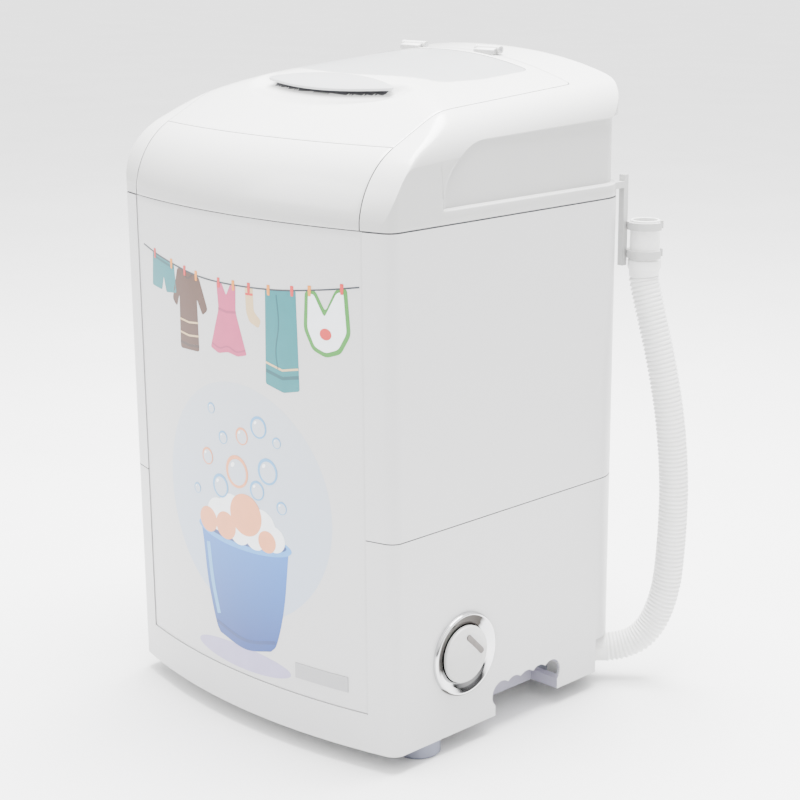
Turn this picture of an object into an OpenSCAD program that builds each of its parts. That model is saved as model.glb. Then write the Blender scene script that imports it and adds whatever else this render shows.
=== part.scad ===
// Compact top load washing machine: single tub, pulsator drive, side timer dial and hanging drain hose.
// Z is up, the bowed front looks toward -Y, and the floor is at Z = 0.
// Every shape is drawn with Y = 0 at the front corner line of the cabinet; place() moves it into the frame.

/* [Cabinet] */
// Width across the flat side walls
body_w = 355; // [350:1:360]
// Depth from the front corner line to the rear face
body_d = 311; // [308:1:314]
// How far the front bows out ahead of the corner line
bow = 18; // [16:1:20]
// Half the width of the front panel
panel_half = 150; // [148:1:152]
// Height of the lower rim of the base above the floor
rim_z = 17; // [15:1:18]
// Height of the lower edge of the front panel
skirt_z = 52; // [50:1:54]
// Height of the seam between the lower and the upper shell
mid_z = 211; // [208:1:214]
// Height of the seam between the upper shell and the cap
seam_z = 472; // [471:1:473]
// Radius of the rear corners
rear_r = 36; // [34:1:38]
// Wall thickness of the mouldings
wall = 3; // [2.8:0.1:3.2]

/* [Cap and lid] */
// Height of the crown at the lid hinge
crown_z = 597.5; // [596:0.5:598]
// Depth of the upper front cover, measured along the top
cover_d = 38; // [37:1:39]
// Half the width of the lid
lid_half = 148; // [146:1:149]
// Distance of the rear edge of the lid from the corner line
lid_back = 257; // [256:1:258]
// Width of the seam around the lid
lid_gap = 0.6; // [0.5:0.1:0.8]
// How deep the side recess of the cap is
recess = 5; // [4:0.5:5.5]

/* [Tub and drive] */
// Inner radius of the wash tub
tub_r = 114; // [112:1:115]
// Height of the underside of the tub floor
tub_z = 190; // [189:1:191]
// Radius of the pulsator disc
pulsator_r = 80; // [76:1:82]
// Radius of the drive shafts
shaft_r = 5; // [5:1:5]
// Distance between the pulsator shaft and the motor shaft
drive_x = 90; // [89:1:91]

/* [Dial] */
// Outer radius of the dial ring
ring_r = 38.5; // [37:0.5:39]
// Radius of the timer knob
knob_r = 26.4; // [26:0.1:26.5]
// Distance of the dial from the corner line
dial_y = 91; // [89:1:93]
// Height of the dial
dial_z = 90; // [89:1:91]

/* [Feet and hose] */
// Radius of a rubber foot
foot_r = 20; // [18:1:21]
// Outer radius of the drain hose
hose_r = 14; // [14:1:14]

/* [Hidden] */
$fn = 96;

half_w = body_w / 2;
corner_y = -151;                      // where the corner line lies in the frame
front_r = 12;                         // radius of the front corners
bow_r = (panel_half * panel_half + bow * bow) / (2 * bow);
bow_y = bow_r - bow;                  // centre of the bowed front
panel_set = 0.8;                      // how far the front panel is set back
big = 400;                            // longer than anything that is cut

// cap
lean_r = 73;                          // arc of the upper front cover, in side view
lean_x = 0.5;                         // how far that arc would pass the front corner line
lean_z = -0.9;                        // height of its centre from the seam
lean_a = 62.7;                        // where that arc ends, from the horizontal
rise = 59.6;                          // straight climb behind it
top_r = 250;                          // arc that flattens the lid
top_a = 9;                            // slope where that arc ends
tilt = 4;                             // slope of the rear of the lid
crown_r = 450;                        // arc across the lid
roll_r = 45;                          // arc of the shoulders
roll_out = 0.6;                       // how far that arc would pass the side wall
roll_x = half_w - roll_r + roll_out;
roll_a = asin(roll_x / (crown_r - roll_r));
roll_z = (crown_r - roll_r) * cos(roll_a) - crown_r;
rear_round = 22;                      // arc between the top and the rear face
ledge_z = seam_z + 12;                // upper edge of the ledge around the cap
crease_z = 538;                       // where the shoulders overhang the recess
cavity = recess + wall + 0.5;         // inner wall of the cap
cover_gap = 0.3;
grip_deep = 11;                       // thickness of the lid at its rim and its grip
boss = [128, 56];                     // bosses for the lid bumpers
boss_z = 530;                         // underside of the bosses for the lid bumpers
window_seat = 3.3;                    // depth of the step that holds the window

// tub
tub_y = 140;                          // axis of the tub and of the pulsator
tub_wall = 2.5;
tub_round = 30;                       // arc between the tub floor and its wall
deck_z = 520;                         // upper face of the deck around the tub mouth
deck_t = 3;
ledge_top = 462;                      // the tub skirt stands on this ledge of the upper shell
drain_x = 50;                         // drain hole, from the tub axis, along X and Y
drain_r = 9.5;
drain_wall = 2.5;
pulsator_z = tub_z + tub_wall + 7.5;  // underside of the pulsator disc

// drive
bush_r = 11;
housing_r = 14;
belt_z = 95;                          // middle of the belt
pulley_r = 56;                        // effective radii of the belt on the two pulleys
pinion_r = 14;
belt_h = 7;
belt_t = 6;
pulley_h = 14;
motor_r = 46;
motor_low = 110;
motor_h = 68;
bracket_z = 183;                      // underside of the motor bracket
run_gap = 0.05;                       // radial clearance of a running fit

// lid handle: half length, half depth and place of the plate
grip = [85, 15, 104];

// lid hinge
hinge_y = lid_back + 1;
hinge_z = 598;
knuckle_r = 3.5;
knuckle_x = 48;
knuckle_w = 24;
pin_r = 1.5;

// handle pocket and feet
pocket_y = [130, 220];
pocket_d = 35;
pocket_z = 46;
scallops = 5;
pan_z = 52;
front_foot = [153, 58];
rear_foot = [100, 262];

// drain hose: from the notch in the rear corner up to the hook
notch_z = 50;
seam_w = 0.9;                         // groove that marks the seam between two mouldings
outlet = [half_w - rear_r / 2 - 1, body_d - rear_r / 2 - 1, 32];
nozzle = [177, 332, 401];
hose_bore = 11;
bar = [158, 316];                     // upright of the hose bracket
bar_w = 6;
clip_r = 17;
clip_h = 7;
clip_z = [412, 438];
inner_hose_r = 12;
spigot_in = outlet - [8.5, 8.5, 0];
inner_route = [[drain_x, tub_y + drain_x, tub_z], [drain_x, tub_y + drain_x, 170],
    [drain_x + 3, tub_y + drain_x + 3, 152], [drain_x + 12, tub_y + drain_x + 10, 136],
    [80, 212, 122], [98, 229, 109], [114, 245, 94], [124, 257, 78], [131, 264, 62],
    spigot_in + [-12.3, -12.3, 9.8],
    spigot_in + [-9.9, -9.9, 5], spigot_in + [-6.5, -6.5, 1.6], spigot_in + [-3.1, -3.1, 0.2],
    spigot_in - [1.4, 1.4, 0], spigot_in];
lead_r = 3;
lead_routes = [
    [[153.5, dial_y - 24, 78], [153.5, 52, 78], [153.5, 52, 64], [-90, 52, 64], [-90, 108, 64],
        [-90, 108, motor_low]],
    [[153.5, dial_y + 24, 78], [153.5, 160, 78], [110, 160, 64], [110, 282, 64], [-80, 282, 64],
        [-80, 295, 78], [-120, 295, 90], [-120, body_d - wall - 5, 90]],
    [[-115, 239, 123], [-115, 239, 135], [-drive_x, 205, 135],
        [-drive_x, tub_y + motor_r + 0.2, 135]]];
hose_route = [outlet + 3 * [sqrt(0.5), sqrt(0.5), 0], [169, 302.5, 32], [180, 313.5, 35], [190, 323, 42],
    [198, 331, 55],
    [204, 336, 73], [208, 340, 96], [210, 342, 125], [211, 343, 160], [211, 343, 195], [209, 342, 230],
    [206, 340, 262], [201, 338, 293], [195, 336, 322], [188, 334, 350], [181, 332.5, 376],
    [177, 332, 392], [177, 332, 401]];

module place() {
    translate([0, corner_y, 0]) children();
}

module both_sides() {
    children();
    mirror([1, 0, 0]) children();
}

// plan of the cabinet: straight sides, rounded rear corners and a bowed front
module outline(inset = 0) {
    arc_r = bow_r - inset;
    half = half_w - inset;
    r = max(front_r - inset, 1);
    back = max(rear_r - inset, 2);
    cy = bow_y - sqrt(pow(arc_r - r, 2) - pow(half - r, 2));
    tangent_x = (half - r) * arc_r / (arc_r - r);
    rear_y = body_d - inset;
    intersection() {
        translate([0, bow_y]) circle(arc_r);
        translate([-tangent_x, -bow - 1]) square([2 * tangent_x, cy + bow + 2]);
    }
    for (side = [-1, 1]) {
        translate([side * (half - r), cy]) circle(r);
        translate([side * (half - back), rear_y - back]) circle(back);
    }
    translate([-half, cy]) square([2 * half, rear_y - back - cy]);
    translate([-(half - back), cy]) square([2 * (half - back), rear_y - cy]);
}

module ring(outer, inner, low, high) {
    translate([0, 0, low]) linear_extrude(high - low) difference() {
        outline(outer);
        outline(inner);
    }
}

// The top of the cap is one faceted surface; t sinks it evenly below the outside.

// height of the side view at the depth d behind the bow
function side_view(d, t) =
    let(r1 = lean_r - t, r3 = top_r - t, c1 = [lean_r - lean_x, seam_z + lean_z],
        p1 = c1 + r1 * [-cos(lean_a), sin(lean_a)], p2 = p1 + rise * [sin(lean_a), cos(lean_a)],
        c3 = p2 + r3 * [cos(lean_a), -sin(lean_a)], p3 = c3 + r3 * [-sin(top_a), cos(top_a)])
    d < p1.x ? c1.y + sqrt(max(r1 * r1 - pow(c1.x - d, 2), 0)) :
    d < p2.x ? p1.y + (d - p1.x) / tan(lean_a) :
    d < p3.x ? c3.y + sqrt(r3 * r3 - pow(c3.x - d, 2)) :
    p3.y + (d - p3.x) * tan(top_a);

// height of the front view, from the crown
function front_view(x, t) =
    abs(x) < roll_x + (roll_r - t) * sin(roll_a) ? sqrt(pow(crown_r - t, 2) - x * x) - crown_r :
    roll_z + sqrt(max(pow(roll_r - t, 2) - pow(abs(x) - roll_x, 2), 0));

// height of the rounding above the rear face
function rear_view(y, t) =
    let(r = rear_round - t, middle = body_d + 0.4 - rear_round,
        high = crown_z + (body_d - lid_back) * tan(tilt) - rear_round)
    y < middle ? 700 : high + sqrt(max(r * r - pow(y - middle, 2), 0));

function blend(a, b) = let(k = 1.2) min(a, b) - k * ln(1 + exp(-abs(a - b) / k));

function cap_height(x, y, t) =
    let(d = bow_r - norm([x, bow_y - y]))
    blend(blend(side_view(d, t), crown_z + (y - lid_back) * tan(tilt) + front_view(x, t)), rear_view(y, t));

// columns of the surface, closer together around the shoulders
function half_columns(t) = [for (x = [30 : 30 : 120]) x,
    for (a = [roll_a : 14 : 82]) roll_x + (roll_r - t) * sin(a), half_w + roll_out - t];

// rows of the surface, as depths that follow the bow at the front and run straight at the rear
function rows(t) = [for (a = [0 : lean_a / 5 : lean_a]) lean_r - lean_x - (lean_r - t) * cos(a),
    for (d = [52, 72, 92, 108, 126, 146, 170, 200, 235, 275, 299]) d,
    for (a = [22.5 : 22.5 : 90]) bow + body_d + 0.4 - rear_round + (rear_round - t) * sin(a)];

function row_y(x, d) =
    let(w = min(max((d - 165) / 110, 0), 1))
    (1 - w) * (bow_y - sqrt(pow(bow_r - d, 2) - x * x)) + w * (d - bow);

module cap_block(t, low) {
    half = half_columns(t);
    n = len(half);
    xs = [for (i = [n - 1 : -1 : 0]) -half[i], 0, for (x = half) x];
    ds = rows(t);
    nx = len(xs);
    ny = len(ds);
    size = nx * ny;
    tops = [for (d = ds) for (x = xs) let(y = row_y(x, d)) [x, y, cap_height(x, y, t)]];
    feet = [for (p = tops) [p.x, p.y, low]];
    skin_faces = [for (j = [0 : ny - 2]) for (i = [0 : nx - 2]) let(a = j * nx + i) each
        [[a, a + nx, a + 1], [a + 1, a + nx, a + nx + 1]]];
    foot_faces = [for (f = skin_faces) [f[0] + size, f[2] + size, f[1] + size]];
    front = [for (i = [0 : nx - 2]) [i, i + 1, i + 1 + size, i + size]];
    rear = [for (i = [0 : nx - 2]) let(a = (ny - 1) * nx + i) [a + 1, a, a + size, a + 1 + size]];
    left = [for (j = [0 : ny - 2]) let(a = j * nx) [a + nx, a, a + size, a + nx + size]];
    right = [for (j = [0 : ny - 2]) let(a = j * nx + nx - 1) [a, a + nx, a + nx + size, a + size]];
    polyhedron(concat(tops, feet), concat(skin_faces, foot_faces, front, rear, left, right));
}

// everything under the surface of the cap and the lid, sunk by t, down to the height low
module cap_solid(t, low = seam_z) {
    intersection() {
        cap_block(t, low - 5);
        translate([0, 0, low]) linear_extrude(660 - low) outline(max(t, 0));
    }
}

module skin(outer, inner) {
    difference() {
        cap_solid(outer);
        cap_solid(inner, seam_z - 1);
    }
}

module prism(low = seam_z, high = 640) {
    translate([0, 0, low]) linear_extrude(high - low) children();
}

module lid_outline(inset) {
    intersection() {
        translate([0, bow_y]) circle(bow_r - cover_d - inset);
        translate([-(lid_half - inset), 0])
            square([2 * (lid_half - inset), lid_back - inset]);
    }
}

module window_outline(inset) {
    intersection() {
        translate([0, 366]) circle(245 - inset);
        polygon([[-110 + inset, 245 - inset], [110 - inset, 245 - inset], [110 - inset, 184],
            [98 - inset, 121], [-98 + inset, 121], [-110 + inset, 184]]);
    }
}

// pointed oval, drawn between two arcs
module lens(half_length, half_depth, y) {
    r = (pow(half_length, 2) + pow(half_depth, 2)) / (2 * half_depth);
    intersection() {
        translate([0, y + r - half_depth]) circle(r);
        translate([0, y - r + half_depth]) circle(r);
    }
}

module tube_z(r, inner, low, high) {
    translate([0, 0, low]) difference() {
        cylinder(r = r, h = high - low);
        translate([0, 0, -1]) cylinder(r = inner, h = high - low + 2);
    }
}

module screw(r, head_r, length, head) {
    cylinder(r = head_r, h = head);
    translate([0, 0, -length]) cylinder(r = r, h = length);
}

// cabinet mouldings

module front_opening(low, high, half) {
    translate([-half, -60, low]) cube([2 * half, 60 + bow + 12, high - low]);
}

// flange behind the edges of the front panel
module panel_flange(low, high) {
    intersection() {
        ring(wall + panel_set, 2 * wall, low, high);
        for (side = [-1, 1]) translate([side * panel_half - 10, -60, low]) cube([20, 90, high - low]);
    }
    both_sides() intersection() {
        ring(wall / 2, wall + panel_set + 1, low, high);
        translate([panel_half + 2, -60, low]) cube([7, 90, high - low]);
    }
}

// shelf along the inside of the side and rear walls
module inner_ledge(width, low, high) {
    prism(low, high) difference() {
        outline(wall - 0.5);
        translate([-(half_w - width), -60]) square([2 * (half_w - width), 60 + body_d - width]);
        translate([-half_w, -60]) square([body_w, 100]);
    }
}

module upper_shell() color("white") place() {
    difference() {
        union() {
            ring(0, wall, mid_z, seam_z - seam_w);
            ring(seam_w, wall, mid_z, seam_z);
        }
        front_opening(mid_z - 1, seam_z + 1, panel_half + cover_gap);
    }
    panel_flange(mid_z, seam_z - 12);
    inner_ledge(14, ledge_top - 5, ledge_top);
}

module foot_boss(at) {
    translate([at.x, at.y, rim_z]) cylinder(r = foot_r - 3, h = pan_z - rim_z);
}

module pocket_outer() {
    translate([half_w - pocket_d, pocket_y[0], rim_z])
        cube([pocket_d - wall, pocket_y[1] - pocket_y[0], pocket_z + 5 - rim_z]);
}

module pocket_inner() {
    t = 2.5;
    translate([half_w - pocket_d + t, pocket_y[0] + t, rim_z - 1])
        cube([pocket_d, pocket_y[1] - pocket_y[0] - 2 * t, pocket_z - rim_z - 1.5]);
    step = (pocket_y[1] - pocket_y[0] - 2 * t) / scallops;
    for (i = [0 : scallops - 1])
        translate([half_w - pocket_d + t, pocket_y[0] + t + (i + 0.5) * step, pocket_z - 10])
            rotate([0, 90, 0]) cylinder(r = 12.5, h = pocket_d);
}

// the rear corner on the hose side is cut off flat below this height
module notch_cut(high) {
    translate([outlet.x, outlet.y, 0]) rotate([0, 0, 45]) translate([0, -50, 0]) cube([60, 100, high]);
}

module lower_shell() color("white") place() {
    difference() {
        union() {
            difference() {
                union() {
                    ring(0, wall, rim_z, mid_z - seam_w);
                    ring(seam_w, wall, rim_z, mid_z);
                }
                front_opening(skirt_z, mid_z + 1, panel_half + cover_gap);
            }
            panel_flange(skirt_z, mid_z);
            inner_ledge(12, pan_z - 4, pan_z);
            both_sides() {
                pocket_outer();
                foot_boss(front_foot);
                foot_boss(rear_foot);
                translate([rear_foot.x - 2, rear_foot.y, 30]) cube([4, body_d - rear_foot.y - 1, pan_z - 30]);
            }
            // timer mounting pad
            translate([half_w - wall - 3, dial_y, dial_z]) rotate([0, 90, 0]) cylinder(r = 34, h = 3.5);
            // flat wall and roof of the notch
            prism(rim_z, notch_z + wall) intersection() {
                outline(wall / 2);
                translate([outlet.x, outlet.y]) rotate(45) translate([-wall, -50]) square([70, 100]);
            }
        }
        both_sides() pocket_inner();
        for (x = [-1, 1]) for (at = [front_foot, rear_foot])
            translate([x * at.x, at.y, rim_z - 1]) cylinder(r = 2.5, h = 22);
        notch_cut(notch_z);
        translate(outlet) rotate([0, 90, 45]) translate([0, 0, -10])
            cylinder(r = drain_r + drain_wall, h = 12);
        translate([half_w - 12, dial_y, dial_z]) rotate([0, 90, 0]) cylinder(r = 8, h = 20);
        translate([-120, body_d - 10, 90]) rotate([-90, 0, 0]) cylinder(r = 8, h = 20);
        translate([-80, body_d - 10, 72]) cube([160, 20, 108]);
    }
}

module front_panel() color("white") place() intersection() {
    ring(panel_set, wall + panel_set, skirt_z + 0.4, seam_z - 0.3);
    translate([-panel_half, -60, 0]) cube([2 * panel_half, 60 + bow, seam_z]);
}

module badge_plate() color("gainsboro") place() intersection() {
    ring(0, panel_set, 68, 82);
    translate([72, -60, 0]) cube([58, 90, big]);
}

module cover_region(gap) {
    difference() {
        translate([-lid_half - gap, -60, seam_z - 2]) cube([2 * (lid_half + gap), 140, 160]);
        translate([0, bow_y, seam_z - 3]) cylinder(r = bow_r - cover_d - gap, h = 170);
    }
}

module upper_front_cover() color("white") place() intersection() {
    skin(0, wall);
    cover_region(-cover_gap);
}

// the sides and the rear are set back between the ledge and the crease
module side_recess() {
    start_y = 65;
    bend = crease_z - ledge_z + 3;
    intersection() {
        ring(-10, recess, ledge_z, crease_z + 30);
        translate([-big / 2, 0, 0]) rotate([90, 0, 90]) linear_extrude(big) {
            translate([start_y + bend, ledge_z - 3]) circle(bend);
            translate([start_y + bend, ledge_z - 3]) rotate(2) square([big, bend - 0.4]);
            translate([start_y + bend, ledge_z - 60]) square([big, 61]);
        }
    }
}

module coaming() {
    intersection() {
        prism(deck_z, 640) difference() {
            lid_outline(-3);
            lid_outline(-lid_gap);
        }
        union() {
            difference() {
                cap_solid(1);
                cover_region(1);
            }
            translate([-half_w, -60, deck_z]) cube([body_w, 140, 8.5]);
        }
        cap_solid(1);
    }
}

module hinge_ears() {
    for (side = [-1, 1]) for (end = [-1, 1])
        translate([side * knuckle_x + end * (knuckle_w / 2 + 1.8) - 1.5, 0, 0]) {
            translate([0, hinge_y, hinge_z]) rotate([0, 90, 0]) cylinder(r = knuckle_r, h = 3);
            translate([0, hinge_y, hinge_z - 7]) cube([3, 7, 7]);
        }
}

module top_frame() color("white") place() difference() {
    union() {
        difference() {
            cap_solid(0);
            side_recess();
            intersection() {
                cap_solid(wall, seam_z - 1);
                prism(seam_z - 2) outline(cavity);
            }
            cover_region(cover_gap);
            prism() lid_outline(-lid_gap);
        }
        coaming();
        hinge_ears();
    }
    bracket_arm();
    for (side = [-1, 1]) translate([side * knuckle_x - 20, hinge_y, hinge_z]) rotate([0, 90, 0])
        cylinder(r = pin_r, h = 40);
    for (side = [-1, 1]) translate([side * knuckle_x - knuckle_w / 2 - 0.3, lid_back - 3, hinge_z - 8])
        cube([knuckle_w + 0.6, 3 + 1 + knuckle_r + 0.5, 12]);
}

module lid_hinge_pins() color("silver") place()
    for (side = [-1, 1]) translate([side * knuckle_x - 15.4, hinge_y, hinge_z]) rotate([0, 90, 0])
        cylinder(r = pin_r, h = 30.8);

// lid

module grip_dish() {
    slope = 20;
    depth = 9;
    tube_r = 50;
    sweep_r = 162;
    translate([0, 88, 568]) rotate([slope - 90, 0, 0]) translate([0, -(tube_r - depth + sweep_r), 0])
        rotate_extrude() translate([sweep_r, 0]) circle(tube_r);
}

module lid_panel() color("white") place() difference() {
    union() {
        difference() {
            intersection() {
                cap_solid(0);
                prism() lid_outline(0);
            }
            intersection() {
                cap_solid(wall);
                prism() difference() {
                    lid_outline(2.5);
                    window_outline(-3);
                    lens(102, 31, 91);
                    both_sides() translate(boss) circle(6);
                }
            }
            cap_solid(grip_deep, seam_z - 1);
        }
        both_sides() translate([boss.x, boss.y, boss_z]) cylinder(r = 6, h = 8);
        for (side = [-1, 1]) translate([side * knuckle_x - knuckle_w / 2, 0, 0]) {
            translate([0, hinge_y, hinge_z]) rotate([0, 90, 0]) cylinder(r = knuckle_r, h = knuckle_w);
            translate([0, hinge_y - 7, hinge_z - 6]) cube([knuckle_w, 7, 6]);
        }
    }
    difference() {
        prism() lens(grip[0] + 0.3, grip[1] + 0.3, grip[2]);
        cap_solid(1.2, seam_z - 1);
    }
    intersection() {
        grip_dish();
        prism() lens(100, 29, 91);
    }
    difference() {
        prism() window_outline(0);
        cap_solid(window_seat, seam_z - 1);
    }
    prism() window_outline(6);
    for (side = [-1, 1]) translate([side * knuckle_x - 20, hinge_y, hinge_z]) rotate([0, 90, 0])
        cylinder(r = pin_r + run_gap, h = 40);
    // room for the ears of the cap
    for (side = [-1, 1]) for (end = [-1, 1])
        translate([side * knuckle_x + end * (knuckle_w / 2 + 1.8) - 1.7, hinge_y, hinge_z]) rotate([0, 90, 0])
            cylinder(r = knuckle_r + 0.4, h = 3.4);
}

module lid_window() color("lightgray") place() intersection() {
    skin(0.1, 2.4);
    prism() window_outline(0.3);
}

module window_seal() color("dimgray") place() intersection() {
    skin(2.4, window_seat);
    prism() difference() {
        window_outline(0.3);
        window_outline(6);
    }
}

module lid_handle() color("white") place() intersection() {
    skin(-1.5, 1.2);
    prism() lens(grip[0], grip[1], grip[2]);
}

module lid_bumpers() color("dimgray") place() both_sides() translate([boss.x, boss.y, boss_z - 1.2])
    cylinder(r = 5, h = 1.2);

// tub

module tub_solid(inset) {
    r = tub_r + tub_wall - inset;
    low = tub_z + inset;
    round = tub_round - inset;
    rotate_extrude() {
        translate([0, low]) square([r - round, deck_z + inset - low]);
        translate([0, low + round]) square([r, deck_z + inset - low - round]);
        intersection() {
            translate([r - round, low + round]) circle(round);
            translate([r - round, low]) square([round, round]);
        }
    }
}

module wash_tub() color("whitesmoke") place() {
    difference() {
        union() {
            translate([0, tub_y, 0]) tub_solid(0);
            prism(deck_z - deck_t, deck_z) intersection() {
                outline(cavity + 0.5);
                translate([0, bow_y]) circle(bow_r - 27);
            }
            difference() {
                ring(cavity + 0.5, cavity + 3, ledge_top, deck_z);
                translate([-half_w, -60, 0]) cube([body_w, 110, deck_z + 10]);
            }
        }
        translate([0, tub_y, 0]) tub_solid(tub_wall);
        translate([0, tub_y, tub_z - 1]) cylinder(r = housing_r + 0.1, h = 10);
        translate([drain_x, tub_y + drain_x, tub_z - 1]) cylinder(r = drain_r, h = 10);
    }
}

module drain_strainer() color("gainsboro") place() translate([drain_x, tub_y + drain_x, tub_z + tub_wall])
    difference() {
        cylinder(r = 14, h = 1.5);
        for (a = [0 : 60 : 300]) rotate([0, 0, a]) translate([5.5, 0, -1]) cylinder(r = 1.8, h = 4);
        translate([0, 0, -1]) cylinder(r = 1.8, h = 4);
    }

module lint_filter() color("gainsboro") place() difference() {
    union() {
        translate([-28, 228, 380]) cube([56, 18, 90]);
        translate([-8, 246, 440]) cube([16, 7.5, 20]);
    }
    translate([-25, 231, 383]) cube([50, 12, 84]);
    for (i = [0 : 3]) translate([-22, 220, 388 + 20 * i]) cube([44, 20, 15]);
}

module filter_net() color("lightgray") place() difference() {
    translate([-24.5, 231.2, 383.5]) cube([49, 11.6, 83]);
    translate([-23.7, 232, 384.3]) cube([47.4, 10, 81.4]);
}

// pulsator and its shaft

module pulsator() color("lightsteelblue") place() translate([0, tub_y, pulsator_z]) difference() {
    union() {
        cylinder(r = pulsator_r, h = 5);
        cylinder(r = 16, h = 22);
        for (a = [0 : 60 : 300]) rotate([0, 0, a]) translate([10, -4, 4]) cube([pulsator_r - 18, 8, 13]);
        difference() {
            cylinder(r = pulsator_r, h = 9);
            translate([0, 0, 4]) cylinder(r = pulsator_r - 4, h = 6);
        }
    }
    translate([0, 0, -1]) cylinder(r = shaft_r, h = 17);
    translate([0, 0, 14]) cylinder(r = 3, h = 10);
    translate([0, 0, 18]) cylinder(r = 9, h = 10);
}

module pulsator_shaft() color("silver") place() translate([0, tub_y, 0]) difference() {
    translate([0, 0, belt_z - 17]) cylinder(r = shaft_r, h = pulsator_z + 16 - belt_z + 17);
    translate([0, 0, pulsator_z + 2]) cylinder(r = 2.5, h = 20);
}

module pulsator_screw() color("silver") place() translate([0, tub_y, pulsator_z + 18])
    screw(2.5, 6, 14, 3.5);

module bearing_housing() color("gainsboro") place() translate([0, tub_y, 0]) difference() {
    union() {
        translate([0, 0, 118]) cylinder(r = housing_r, h = 80);
        translate([0, 0, bracket_z + 3]) cylinder(r = 30, h = tub_z - bracket_z - 3);
    }
    translate([0, 0, 117]) cylinder(r = bush_r, h = 90);
    for (a = [45 : 90 : 315]) rotate([0, 0, a]) translate([23, 0, bracket_z]) cylinder(r = 2.5, h = 10);
}

module bush(low) {
    color("goldenrod") place() translate([0, tub_y, 0])
        tube_z(bush_r, shaft_r + run_gap, low, low + 14);
}

module upper_bush() bush(176);

module lower_bush() bush(118);

module shaft_seal() color("dimgray") place() translate([0, tub_y, 0])
    tube_z(bush_r, shaft_r + 0.3, 190, 197);

// belt drive

module grooved_pulley(r, h) {
    rotate_extrude() {
        difference() {
            translate([0, -h / 2]) square([r + 4, h]);
            polygon([[r - belt_t / 2 - 0.5, -belt_h / 2 - 0.4], [r + 5, -h / 2 + 1.2], [r + 5, h / 2 - 1.2],
                [r - belt_t / 2 - 0.5, belt_h / 2 + 0.4]]);
        }
    }
}

module drum_pulley() color("slategray") place() translate([0, tub_y, belt_z]) difference() {
    grooved_pulley(pulley_r, pulley_h);
    translate([0, 0, -20]) cylinder(r = shaft_r, h = 40);
    for (a = [30 : 60 : 330]) rotate([0, 0, a]) translate([31, 0, -20]) cylinder(r = 11, h = 40);
}

module pulley_nut() color("silver") place() translate([0, tub_y, belt_z - pulley_h / 2 - 7]) difference() {
    cylinder(r = 9, h = 7, $fn = 6);
    translate([0, 0, -1]) cylinder(r = shaft_r, h = 9);
}

module motor_pulley() color("slategray") place() translate([-drive_x, tub_y, belt_z]) difference() {
    grooved_pulley(pinion_r, pulley_h);
    translate([0, 0, -20]) cylinder(r = shaft_r, h = 40);
}

// closed loop around both pulleys, grown outward by t
module belt_outline(t) {
    r1 = pulley_r + t;
    r2 = pinion_r + t;
    a = acos((r1 - r2) / drive_x);
    circle(r1);
    translate([-drive_x, 0]) circle(r2);
    polygon([[-r1 * cos(a), r1 * sin(a)], [-drive_x - r2 * cos(a), r2 * sin(a)],
        [-drive_x - r2 * cos(a), -r2 * sin(a)], [-r1 * cos(a), -r1 * sin(a)]]);
}

module drive_belt() color("darkslategray") place() translate([0, tub_y, belt_z - belt_h / 2])
    linear_extrude(belt_h) difference() {
        belt_outline(belt_t / 2);
        belt_outline(-belt_t / 2);
    }

// motor

module at_motor() {
    translate([-drive_x, tub_y, 0]) children();
}

module motor_posts() {
    for (a = [45 : 90 : 315]) rotate([0, 0, a]) translate([36, 0, 0]) children();
}

module motor_shell() color("darkgray") place() at_motor() difference() {
    union() {
        translate([0, 0, motor_low]) cylinder(r = motor_r, h = motor_h);
    }
    translate([0, 0, motor_low + 3]) cylinder(r = motor_r - 3, h = motor_h - 6);
    translate([0, 0, motor_low - 1]) cylinder(r = shaft_r + run_gap, h = motor_h + 2);
    for (a = [22.5 : 45 : 360]) rotate([0, 0, a]) translate([30, 0, motor_low - 1]) cylinder(r = 4, h = 5);
    motor_posts() translate([0, 0, motor_low + motor_h - 4]) cylinder(r = 3, h = 10);
}

module stator_core() color("lightslategray") place() at_motor()
    tube_z(motor_r - 3, 26, motor_low + 16, motor_low + 50);

module stator_windings() color("peru") place() at_motor() {
    tube_z(40, 29, motor_low + 8, motor_low + 16);
    tube_z(32, 29, motor_low + 50, motor_low + 58);
}

module motor_rotor() color("silver") place() at_motor()
    tube_z(25.5, shaft_r, motor_low + 14, motor_low + 52);

module motor_shaft() color("silver") place() at_motor()
    translate([0, 0, belt_z - 9]) cylinder(r = shaft_r, h = motor_low + motor_h - 1 - belt_z + 9);

module motor_bracket() color("silver") place() difference() {
    translate([-145, tub_y - 46, bracket_z]) cube([190, 92, 3]);
    translate([0, tub_y, bracket_z - 1]) cylinder(r = housing_r + 1, h = 10);
    translate([0, tub_y, 0]) for (a = [45 : 90 : 315]) rotate([0, 0, a])
        translate([23, 0, bracket_z - 1]) cylinder(r = 2.5, h = 10);
    at_motor() motor_posts() translate([0, 0, bracket_z - 1]) cylinder(r = 3, h = 10);
    translate([28, tub_y + 28, bracket_z - 1]) cube([20, 20, 10]);
}

module bracket_bolts() color("silver") place() translate([0, tub_y, 0])
    for (a = [45 : 90 : 315]) rotate([0, 0, a]) translate([23, 0, bracket_z]) mirror([0, 0, 1])
        screw(2.5, 4.5, 7, 3);

module motor_cushions() color("dimgray") place() at_motor() motor_posts()
    tube_z(8, 3, motor_low + motor_h, bracket_z);

module motor_bolts() color("silver") place() at_motor() motor_posts()
    translate([0, 0, bracket_z + 3]) screw(3, 5.5, 11, 3.5);

module run_capacitor() color("whitesmoke") place() translate([-115, 245, pan_z + 3]) {
    cylinder(r = 17, h = 60);
    for (x = [-6, 6]) translate([x - 2, -1, 60]) cube([4, 2, 8]);
}

module capacitor_clip() color("silver") place() translate([-115, 245, pan_z + 3]) {
    tube_z(18.5, 17, 20, 32);
    translate([18, -6, 0]) cube([1.5, 12, 32]);
    translate([18, -6, 0]) cube([14, 12, 1.5]);
}

// base

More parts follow.
